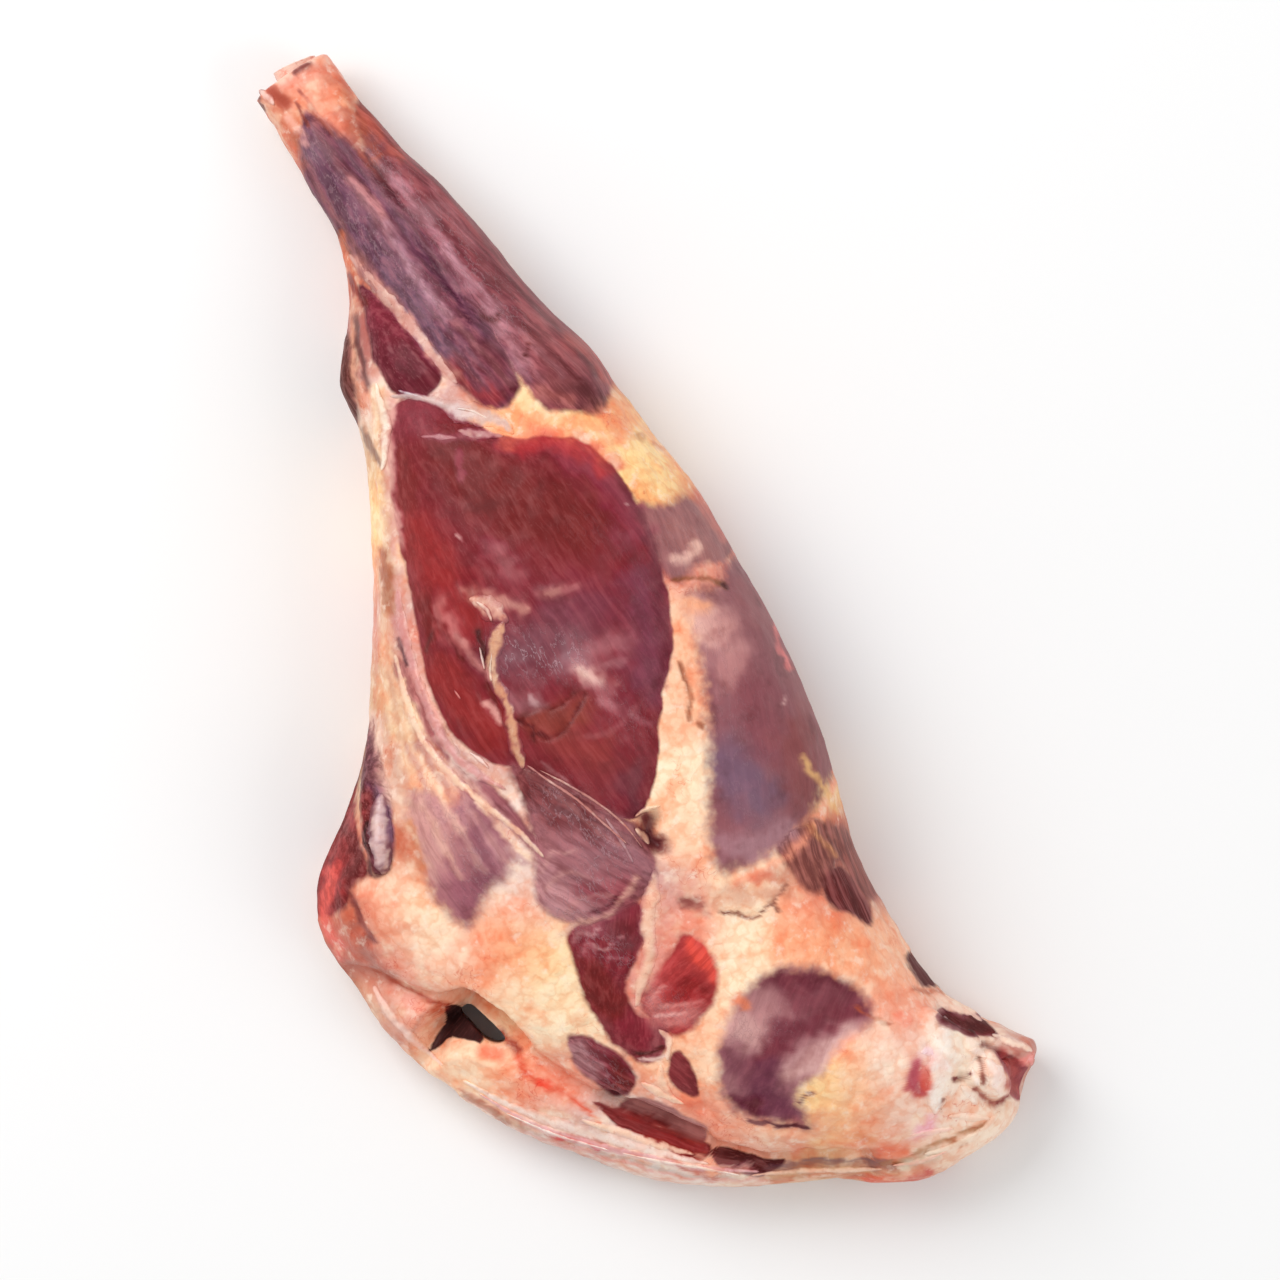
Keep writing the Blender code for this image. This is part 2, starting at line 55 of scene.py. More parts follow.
# Profiles along the leg, as (rib number, value) knots: heights of the hump, the slab, its rim and its
# underside, how far the hump leans, and the powers that round the slab's corner, the underside and the hump.
CROWN = ((0, 36), (2, 42), (4, 54), (6, 69), (8, 83), (11, 96), (14, 99), (17, 94), (20, 80), (23, 58),
         (25, 44), (27, 29))
SLAB = ((0, 27), (3, 30), (6, 36), (9, 44), (12, 42), (15, 34), (18, 29), (22, 27), (25, 27), (27, 24))
EDGE = ((0, 21), (3, 22), (6, 24), (10, 26), (14, 20), (18, 16), (22, 14), (27, 13))
BELLY = ((0, 7), (2, 4), (4, 0), (5, -4), (24, -4), (27, -1))
LEAN = ((0, 0), (6, 0.05), (12, 0.15), (18, 0.25), (22, 0.2), (27, 0))
SLAB_CORNER = ((0, 2.6), (6, 4), (12, 8), (16, 14), (20, 14), (24, 8), (27, 4))
UNDER_LEFT = ((0, 2.4), (4, 3.0), (6, 4.0), (10, 4.5), (14, 6), (20, 8), (24, 6), (27, 3))
UNDER_RIGHT = ((0, 2.4), (4, 3.0), (6, 3.6), (14, 3.6), (20, 4.5), (27, 3))
LEFT_SHOULDER = ((0, 2.1), (8, 2.0), (12, 1.7), (16, 1.6), (20, 1.5), (24, 1.7), (27, 2.0))
RIGHT_SHOULDER = ((0, 2.1), (8, 2.2), (14, 2.5), (18, 2.4), (22, 2.1), (27, 2.0))
LEFT_FALL = ((0, 0.5), (9, 0.52), (12, 0.68), (15, 0.95), (19, 1.1), (23, 0.8), (27, 0.6))
RIGHT_FALL = ((0, 0.5), (14, 0.5), (20, 0.6), (24, 0.7), (27, 0.6))
# Points of a ring over the top, underneath and while it is worked out, and how far the rings lie apart.
TOP_POINTS = 200
UNDER_POINTS = 34
FINE_POINTS = 420
SHANK_START = 110.0
SHANK_STEP = 1.9
BODY_STEP = 1.27


def smooth_through(knots, values, where):
    """A smooth curve through values at knots, read at where: cubic pieces with slopes from the neighbours."""
    knots = np.asarray(knots, float)
    values = np.asarray(values, float)
    slopes = np.gradient(values, knots, axis=0)
    piece = np.clip(np.searchsorted(knots, where, side="right") - 1, 0, len(knots) - 2)
    span = knots[piece + 1] - knots[piece]
    t = (where - knots[piece]) / span
    if values.ndim > 1:
        span, t = span[:, None], t[:, None]
    start = (1 + 2 * t) * (1 - t) ** 2 * values[piece] + t * (1 - t) ** 2 * span * slopes[piece]
    end = t * t * (3 - 2 * t) * values[piece + 1] + t * t * (t - 1) * span * slopes[piece + 1]
    return start + end


def profile(knots, where):
    """A profile given as (rib number, value) knots, read at rib numbers."""
    return smooth_through([k for k, _ in knots], [v for _, v in knots], where)


def rounded_path(points, closed, steps=5):
    """A smooth line through a few points, as many short segments."""
    points = np.asarray(points, float)
    if closed:
        points = np.concatenate([points[-2:], points, points[:3]])
    knots = np.arange(len(points))
    low, high = (2, len(points) - 3) if closed else (0, len(points) - 1)
    where = np.linspace(low, high, (high - low) * steps + 1)
    return smooth_through(knots, points, where)


def distance_to_path(x, y, path, reach):
    """The distance of each point from the nearest segment of a path, or reach where it lies further off."""
    low, high = path.min(axis=0) - reach, path.max(axis=0) + reach
    near = (x > low[0]) & (x < high[0]) & (y > low[1]) & (y < high[1])
    px, py = x[near], y[near]
    found = np.full(px.shape, reach, float)
    for a, b in zip(path[:-1], path[1:]):
        along = b - a
        t = np.clip(((px - a[0]) * along[0] + (py - a[1]) * along[1]) / max(along @ along, 1e-9), 0, 1)
        found = np.minimum(found, np.hypot(px - a[0] - t * along[0], py - a[1] - t * along[1]))
    nearest = np.full(x.shape, reach, float)
    nearest[near] = found
    return nearest


def depth_inside(x, y, outline, reach=30.0):
    """How far each point lies inside a closed outline, and below zero outside it."""
    path = rounded_path(outline, closed=True)
    low, high = path.min(axis=0), path.max(axis=0)
    near = (x > low[0]) & (x < high[0]) & (y > low[1]) & (y < high[1])
    px, py = x[near], y[near]
    crossed = np.zeros(px.shape, bool)
    for a, b in zip(path[:-1], path[1:]):
        if a[1] == b[1]:
            continue
        level = (a[1] > py) != (b[1] > py)
        crossed ^= level & (px < (b[0] - a[0]) * (py - a[1]) / (b[1] - a[1]) + a[0])
    inside = np.zeros(x.shape, bool)
    inside[near] = crossed
    away = distance_to_path(x, y, path, reach)
    return np.where(inside, away, -away)


def spread_evenly(points, count):
    """Each row of points spread again at equal distances along its row, with height counted at half."""
    steps = np.linalg.norm(np.diff(points, axis=1) * (1, 1, 0.5), axis=2)
    run = np.concatenate([np.zeros((len(points), 1)), np.cumsum(steps, axis=1)], axis=1)
    target = np.linspace(0, 1, count) * run[:, -1:]
    apart = 1e5 * np.arange(len(points))[:, None]
    target, run = (target + apart).ravel(), (run + apart).ravel()
    rows = [np.interp(target, run, points[..., k].ravel()) for k in range(3)]
    return np.stack(rows, axis=1).reshape(len(points), count, 3)


def rib_numbers():
    """Rib numbers of the rings, so that the rings lie a step apart along the leg, wider on the shank."""
    fine = np.linspace(0, len(RIBS) - 1, 3000)
    ends = smooth_through(np.arange(len(RIBS)), np.array(RIBS, float), fine)
    middle = np.stack([ends[:, 0] + ends[:, 2], ends[:, 1] + ends[:, 3]], axis=1) / 2
    lengths = np.linalg.norm(np.diff(middle, axis=0), axis=1)
    step = np.where(middle[1:, 1] > SHANK_START, SHANK_STEP, BODY_STEP)
    run = np.concatenate([[0.0], np.cumsum(lengths / step)])
    return np.interp(np.linspace(0, run[-1], int(run[-1])), run, fine)


def leg_rings():
    """Rings round the leg from hock to tail: over the top from left to right, then back underneath."""
    rib = rib_numbers()
    ends = smooth_through(np.arange(len(RIBS)), np.array(RIBS, float), rib)[:, None, :]
    crown, slab, edge, belly = (profile(knots, rib)[:, None] for knots in (CROWN, SLAB, EDGE, BELLY))
    lean, over = (profile(knots, rib)[:, None] for knots in (LEAN, SLAB_CORNER))
    under_left, under_right = (profile(knots, rib)[:, None] for knots in (UNDER_LEFT, UNDER_RIGHT))
    left, right = (profile(knots, rib)[:, None] for knots in (LEFT_SHOULDER, RIGHT_SHOULDER))
    left_fall, right_fall = (profile(knots, rib)[:, None] for knots in (LEFT_FALL, RIGHT_FALL))
    across = -np.cos(np.linspace(0, math.pi, FINE_POINTS))[None, :]
    on_right = across > lean
    from_crown = np.where(on_right, (across - lean) / (1 - lean), (lean - across) / (1 + lean))
    shoulder, fall = np.where(on_right, right, left), np.where(on_right, right_fall, left_fall)
    hump = np.clip(1 - np.abs(from_crown) ** shoulder, 0, 1) ** fall
    top = edge + (slab - edge) * np.sqrt(np.clip(1 - np.abs(across) ** over, 0, 1)) + (crown - slab) * hump
    under = np.where(across > 0, under_right, under_left)
    bottom = edge - (edge - belly) * np.sqrt(np.clip(1 - np.abs(across) ** under, 0, 1))
    bottom = np.maximum(bottom, 0.0)
    share = (across + 1) / 2
    x = ends[..., 0] * (1 - share) + ends[..., 2] * share
    y = ends[..., 1] * (1 - share) + ends[..., 3] * share
    upper = spread_evenly(np.stack([x, y, top], axis=2), TOP_POINTS)
    lower = spread_evenly(np.stack([x, y, bottom], axis=2)[:, ::-1], UNDER_POINTS)
    return np.concatenate([upper[:, :-1], lower[:, :-1]], axis=1)


# The muscles that show through the fat, each under its own thin skin of fascia, and the fat that
# swells between them. Each muscle has its swell, the width of its shoulder, the softness of its edge in
# the fat, how streaky it is, its colour, the way its fibres run in degrees, and its outline from above.
MUSCLES = (
    # The round of the thigh.
    (5.0, 20, 0.8, 0.30, (128, 42, 52), 100,
     ((-11, 118), (2, 117), (14, 104), (28, 88), (46, 80), (57, 72), (65, 54), (67, 20), (60, -10), (55, -22),
      (42, -41), (28, -67), (15, -79), (2, -72), (-10, -56), (-20, -42), (-33, -33), (-43, -14), (-42, 12),
      (-35, 42), (-30, 66), (-22, 95))),
    # The outer muscle, and its thin upper end.
    (4.0, 26, 4.5, 0.12, (142, 86, 92), 72,
     ((69, -8), (76, -3), (84, -5), (92, 2), (104, 0), (116, -40), (110, -85), (90, -102), (68, -114),
      (48, -117), (36, -112), (41, -92), (51, -70), (62, -40))),
    (0.8, 8, 2.6, 0.3, (158, 103, 103), 80,
     ((64, 40), (78, 34), (90, 32), (100, 12), (92, 3), (80, 6), (69, 3), (63, 20))),
    # The shank: outer and inner calf, and what shows between and beside them.
    (3.5, 11, 1.8, 0.7, (136, 70, 78), 110,
     ((26, 240), (38, 244), (50, 212), (62, 172), (74, 140), (84, 112), (82, 98), (70, 81), (58, 86), (48, 92),
      (44, 106), (40, 135), (35, 160), (29, 190), (24, 215))),
    (4.0, 10, 1.8, 0.7, (114, 66, 84), 106,
     ((-6, 222), (1, 240), (8, 248), (15, 238), (19, 228), (24, 211), (32, 190), (40, 160), (43, 135),
      (43, 110), (40, 102), (32, 99), (24, 104), (18, 118), (12, 138), (5, 160), (1, 172), (0, 186),
      (-3, 200))),
    (3.0, 8, 0.9, 0.5, (108, 33, 54), 112,
     ((-2, 172), (7, 154), (13, 138), (15, 122), (6, 117), (-6, 122), (-9, 140), (-6, 155))),
    (5.0, 7, 1.6, 0.7, (104, 54, 48), 100,
     ((-13, 154), (-22, 157), (-38, 142), (-36, 122), (-26, 119), (-18, 138))),
    # Below the round: the veiled muscle, the bare ones and the small ones.
    (4.0, 10, 2.2, 0.6, (150, 93, 98), 125,
     ((-26, -38), (-18, -42), (-8, -56), (3, -70), (14, -84), (14, -100), (8, -108), (-6, -113), (-26, -111),
      (-37, -98), (-36, -86), (-28, -64))),
    (2.5, 8, 1.3, 0.45, (132, 42, 54), 62,
     ((-33, -114), (-24, -110), (-12, -111), (-1, -110), (1, -119), (-3, -127), (-10, -133), (-17, -139),
      (-20, -146), (-19, -154), (-14, -158), (-9, -162), (-11, -168), (-14, -173), (-20, -176), (-26, -174),
      (-31, -168), (-34, -160), (-35, -150), (-37, -140), (-35, -127))),
    (1.2, 6, 2.0, 0.5, (180, 64, 64), 20,
     ((11, -131), (18, -137), (19, -150), (14, -160), (4, -167), (-8, -170), (-14, -162), (-16, -152),
      (-9, -145), (3, -137))),
    (1.0, 5, 1.2, 0.8, (132, 56, 66), 118,
     ((-50, -152), (-43, -155), (-37, -162), (-31, -174), (-32, -182), (-40, -185), (-47, -177),
      (-52, -164))),
    (0.6, 4, 1.0, 0.6, (134, 54, 58), 110,
     ((-14, -177), (-9, -176), (-8, -185), (-9, -195), (-13, -196), (-18, -188), (-17, -183))),
    # The inner flank, the sinews' bed, and the lean that shows at its edge.
    (3.5, 14, 4.0, 0.35, (168, 108, 114), 100,
     ((-72, -34), (-62, -34), (-54, -44), (-46, -36), (-41, -46), (-39, -70), (-46, -80), (-56, -82),
      (-66, -92), (-72, -90), (-77, -75), (-74, -54))),
    (0.8, 4, 1.8, 0.6, (150, 88, 94), 108,
     ((-46, -28), (-40, -33), (-34, -48), (-29, -62), (-26, -76), (-32, -74), (-37, -62), (-41, -48))),
    (0.8, 4, 1.2, 0.6, (122, 44, 52), 104,
     ((-54, 18), (-49, 20), (-46, 0), (-45, -14), (-48, -26), (-51, -14), (-53, 0))),
    (6.0, 6, 1.2, 0.9, (112, 62, 72), 115,
     ((-71, 4), (-74, -12), (-76, -28), (-80, -38), (-84, -50), (-90, -58), (-97, -58), (-95, -44),
      (-92, -32), (-84, -14))),
    (0.0, 6, 1.6, 0.6, (126, 28, 34), 118,
     ((-80, -8), (-92, -26), (-97, -42), (-98, -56), (-106, -58), (-115, -66), (-128, -62), (-122, -40),
      (-104, -20))),
    # The streaked end of the outer muscle.
    (0.6, 5, 2.4, 0.9, (150, 88, 78), 92,
     ((61, -114), (76, -110), (88, -116), (94, -126), (94, -150), (86, -148), (84, -132), (74, -138),
      (66, -136))),
    (0.5, 4, 1.2, 0.8, (112, 48, 48), 92,
     ((72, -140), (74, -132), (82, -133), (86, -140), (88, -152), (85, -162), (79, -153), (74, -149))),
    # The rump, seen through a window in its fat.
    (0.0, 6, 3.6, 0.25, (164, 110, 114), 45,
     ((14, -172), (28, -163), (42, -161), (54, -166), (64, -176), (71, -188), (68, -197), (58, -199),
      (48, -204), (38, -209), (28, -213), (27, -228), (15, -221), (4, -212), (0, -201), (4, -186))),
    # The gashes in the flap's seam.
    (0.0, 6, 0.9, 0.6, (186, 128, 124), 135,
     ((-43, -187), (-34, -188), (-26, -193), (-19, -202), (-13, -211), (-16, -217), (-22, -213), (-28, -206),
      (-36, -199), (-42, -193))),
    (0.0, 6, 0.6, 0.6, (126, 12, 10), 135,
     ((-52, -181), (-47, -187), (-42, -190), (-36, -197), (-31, -203), (-35, -205), (-42, -200),
      (-48, -193))),
    (0.0, 6, 0.7, 0.6, (142, 32, 26), 135,
     ((-36, -200), (-30, -203), (-24, -209), (-17, -215), (-14, -221), (-20, -224), (-26, -220), (-33, -211),
      (-38, -205))),
    (0.0, 6, 0.7, 0.7, (94, 28, 40), 145,
     ((-15, -221), (-9, -223), (-2, -229), (5, -234), (12, -238), (0, -240), (-6, -237), (-14, -230))),
    # The pits and the lean at the tail, and the tear's rim.
    (0.0, 6, 0.6, 0.3, (96, 12, 26), 140,
     ((94, -208), (98, -206), (105, -212), (112, -217), (115, -227), (110, -225), (103, -220), (97, -214))),
    (0.0, 6, 1.4, 0.2, (96, 36, 22), 100,
     ((93, -181), (97, -180), (102, -186), (106, -194), (104, -199), (99, -197), (95, -195), (93, -190))),
    (0.0, 6, 0.8, 0.4, (142, 46, 56), 130,
     ((111, -231), (116, -235), (121, -243), (119, -249), (114, -256), (110, -252), (112, -244),
      (111, -238))),
    # The near-black red beside the tear is dark flesh with the shade of its pocket painted in.
    (0.0, 6, 0.6, 0.3, (66, 8, 10), 30,
     ((-92, -119), (-87, -124), (-83, -130), (-82, -138), (-85, -141), (-89, -137), (-95, -134), (-101, -135),
      (-108, -135), (-103, -131), (-97, -128), (-94, -124))))
# Places where the fat itself swells or sinks, as (height, width of its shoulder, outline).
BARE_FAT = (
    (-4.0, 14, ((-70, 6), (-78, -18), (-90, -38), (-97, -58), (-108, -54), (-116, -68), (-120, -88),
                (-140, -80), (-136, -50), (-110, -25), (-90, -5))),
    (-3.5, 12, ((28, -164), (42, -161), (56, -170), (69, -183), (66, -196), (52, -204), (36, -208),
                (28, -225), (14, -221), (3, -210), (5, -192), (14, -178))),
    (4.5, 18, ((-104, -60), (-84, -64), (-70, -94), (-50, -86), (-38, -98), (-40, -125), (-40, -150),
               (-52, -162), (-66, -152), (-76, -137), (-90, -119), (-104, -109), (-113, -92), (-111, -72))),
    (4.0, 24, ((22, -128), (40, -140), (68, -138), (86, -165), (94, -195), (100, -215), (82, -246),
               (50, -252), (20, -238), (0, -224), (-8, -200), (2, -175), (18, -158))),
    (3.5, 6, ((86, -202), (97, -207), (108, -219), (104, -230), (92, -228), (84, -214))),
    (4.0, 6, ((98, -232), (110, -230), (113, -242), (107, -251), (96, -248), (92, -238))),
    (-15.0, 12, ((-100, -118), (-84, -113), (-73, -122), (-64, -142), (-68, -153), (-82, -152), (-94, -142),
                 (-114, -141), (-112, -128))),
    (3.0, 5, ((98, -202), (112, -212), (124, -230), (132, -238), (118, -232), (114, -224), (104, -212))))
# The flank crease, the two gashes and the seams, as (depth, half width, line).
CREASES = (
    (-7.5, 5.0, ((-126, -92), (-112, -103), (-100, -115), (-90, -123), (-80, -136), (-72, -151),
                 (-63, -166), (-54, -180), (-46, -188), (-34, -199), (-22, -213), (-13, -224),
                 (0, -235), (20, -242), (42, -251))),
    (-9.0, 4.5, ((-104, -133), (-96, -130), (-88, -126), (-80, -134), (-75, -144))),
    (-8.5, 3.8, ((-47, -186), (-38, -196), (-28, -206), (-19, -216))),
    (-8.0, 3.2, ((-13, -225), (-7, -229), (0, -234))),
    (-2.5, 3.0, ((-8, 36), (-13, 15), (-18, 0), (-20, -20), (-24, -40), (-31, -50))),
    (-7.0, 4.0, ((19, -83), (15, -88), (17, -93))),
    (-6.0, 3.0, ((97, -208), (105, -216), (112, -226))),
    (-5.0, 3.0, ((115, -233), (119, -240), (115, -250))),
    (-3.5, 2.5, ((93, -235), (98, -246), (104, -254))),
    (-1.8, 2.5, ((11, 236), (19, 205), (26, 175), (33, 150))))
# Seams and muscles of the inner side, where it rests: the muscles as (softness, colour, fibres, outline).
UNDER_SEAMS = (
    (-4.5, 6.0, ((6, 235), (8, 190), (2, 150), (-4, 110), (-8, 60), (-20, 10), (-40, -40), (-62, -100),
                 (-70, -150))),
    (-4.0, 6.0, ((20, 220), (30, 170), (42, 120), (52, 60), (50, 0), (34, -60), (24, -120), (30, -180),
                 (44, -240))),
    (-3.5, 5.0, ((72, 80), (70, 20), (66, -50), (70, -120), (84, -180), (96, -225))))
UNDER_MUSCLES = (
    (3.0, (126, 44, 52), 112, ((-18, 150), (-12, 100), (-14, 50), (-26, 5), (-46, -45), (-68, -100),
                               (-76, -140), (-96, -130), (-112, -100), (-112, -70), (-92, -35), (-64, 5),
                               (-44, 50), (-28, 95))),
    (2.5, (138, 54, 60), 105, ((4, 205), (14, 215), (24, 170), (36, 120), (45, 60), (43, 0), (28, -60),
                               (18, -120), (22, -170), (-10, -190), (-50, -160), (-62, -140), (-54, -95),
                               (-33, -40), (-13, 10), (-1, 60), (2, 110), (8, 150))),
    (2.5, (120, 52, 66), 95, ((36, 190), (48, 150), (58, 110), (64, 80), (63, 20), (58, -50), (62, -120),
                              (74, -180), (82, -215), (60, -235), (46, -220), (36, -175), (31, -120),
                              (41, -60), (57, 0), (59, 60), (48, 120), (38, 160))),
    (4.0, (132, 62, 68), 85, ((78, 70), (84, 40), (90, 0), (92, -50), (88, -100), (84, -125), (77, -120),
                              (73, -50), (77, 20), (78, 60))))


def lattice_value(cell, seed):
    """A number from 0 to 1 for each lattice point, mixed from its whole-number coordinates."""
    mixed = (cell[..., 0] * 73856093) ^ (cell[..., 1] * 19349663) ^ (cell[..., 2] * 83492791) ^ (seed * 7919)
    mixed = ((mixed ^ (mixed >> 13)) * 1274126177) & 0x7FFFFFFF
    return ((mixed ^ (mixed >> 16)) & 0xFFFF) / 65535.0


def noise(points, size, seed):
    """Smooth noise from -1 to 1: values on a cubic lattice of this size, blended between its points."""
    cell = np.floor(points / size).astype(np.int64)
    part = points / size - cell
    part = part * part * (3 - 2 * part)
    total = np.zeros(points.shape[:-1])
    for corner in range(8):
        step = np.array([corner & 1, corner >> 1 & 1, corner >> 2])
        weight = np.where(step, part, 1 - part).prod(axis=-1)
        total += weight * lattice_value(cell + step, seed)
    return total * 2 - 1


def lobes(points, size, seed):
    """Rounded lumps side by side, from 0 in the gaps to 1 on top: distance to the nearest jittered centre."""
    cell = np.floor(points / size).astype(np.int64)
    best = np.full(points.shape[:-1], 9.0)
    for corner in range(27):
        at = cell + np.array([corner % 3 - 1, corner // 3 % 3 - 1, corner // 9 - 1])
        jitter = np.stack([lattice_value(at, seed + k) for k in range(3)], axis=-1)
        best = np.minimum(best, (((points / size) - at - 0.15 - 0.7 * jitter) ** 2).sum(axis=-1))
    return 1 - np.clip(best / 0.75, 0, 1)


def blended(first, second, share):
    """The first value where the share is 0, the second where it is 1, and a blend in between."""
    return first * (1 - share) + second * share


def pillow(depth, height, edge):
    """A swell over an outline: it rises from the edge in a curve and is level past the edge's width."""
    return height * (1 - (1 - np.clip(depth / edge, 0, 1)) ** 2)


def groove(x, y, depth, half_width, line):
    """A rounded groove along a line, or a welt where its depth is above zero."""
    reach = 3.2 * half_width
    away = distance_to_path(x, y, rounded_path(line, closed=False), reach)
    return depth * np.exp(-((away / half_width) ** 2)) * (away < reach)


# The tones of the fat, and the places on the upper side where each lies. The fat is creamy where it
# is thick, yellow at the knee, and salmon, rose or brick red where it is thin or stained with blood.
FAT_TONES = (
    ((255, 230, 196), ((30, -148), (22, -160), (-86, -98), (-88, -72), (-62, -138), (98, -246), (42, -124),
                       (52, 100), (-97, -148), (72, -256), (14, -196), (6, -222),
                       (-44, -128), (68, -222), (64, -236), (98, -220), (90, -234), (106, -240),
                       (84, -250), (-94, -84), (-70, -124), (-84, -112), (32, -80))),
    ((255, 214, 150), ((44, 96), (82, 50), (88, 62), (95, -95), (-46, -122), (-30, 82),
                       (66, 80), (34, -222), (36, -214), (-34, 72))),
    ((254, 196, 160), ((52, -40), (46, -226), (56, -12), (-85, -160), (-100, -138), (80, -170), (62, -208),
                       (-58, -36), (92, -190), (10, -174), (62, -120), (66, -14), (28, -92), (-60, -24))),
    ((250, 168, 124), ((-52, -106), (-60, -110), (50, -240), (68, -162), (60, -154), (-40, 58), (15, 248),
                       (60, -222), (-68, -116), (76, -180), (34, 88))),
    ((240, 140, 112), ((-98, -64), (74, -190), (82, -202), (-92, -112), (14, -128), (-72, -168), (50, -262),
                       (88, 8), (0, -214), (-106, -84), (68, -142))),
    ((228, 150, 136), ((-46, 24), (15, 262), (-2, -122), (-8, -134), (70, -246), (-105, -98), (-8, -118),
                       (76, 6), (2, -232), (-112, -112), (84, -216), (-76, -108), (12, 140), (72, -232),
                       (60, -246))),
    ((214, 168, 126), ((15, -250), (-58, -4), (-26, 104), (-122, -108), (30, -256), (-64, -16), (-67, 2),
                       (-60, 14), (-71, -14), (0, -246))),
    ((196, 104, 76), ((24, 224), (-5, 238), (0, 184), (100, -50), (-74, -52), (-114, -60), (74, 100),
                      (94, 20), (-123, -76), (104, -78), (60, -268), (80, -124))),
    ((164, 88, 80), ((-3, 208), (-20, 148), (90, -138), (-118, -84), (116, -240))),
    ((252, 226, 210), ((72, -206), (96, -236), (92, -212), (100, -252), (78, -256))),
    ((240, 208, 194), ((-16, 122), (-55, -205), (-30, -226), (-78, -182), (95, -222), (86, -240), (-12, -238),
                       (112, -232), (-28, -68), (-30, -80), (-44, -92))),
    ((204, 160, 154), ((-46, -22), (-38, 44), (-66, -198), (8, -112), (2, 104), (-50, 8))))
FAT_REACH = 9.5
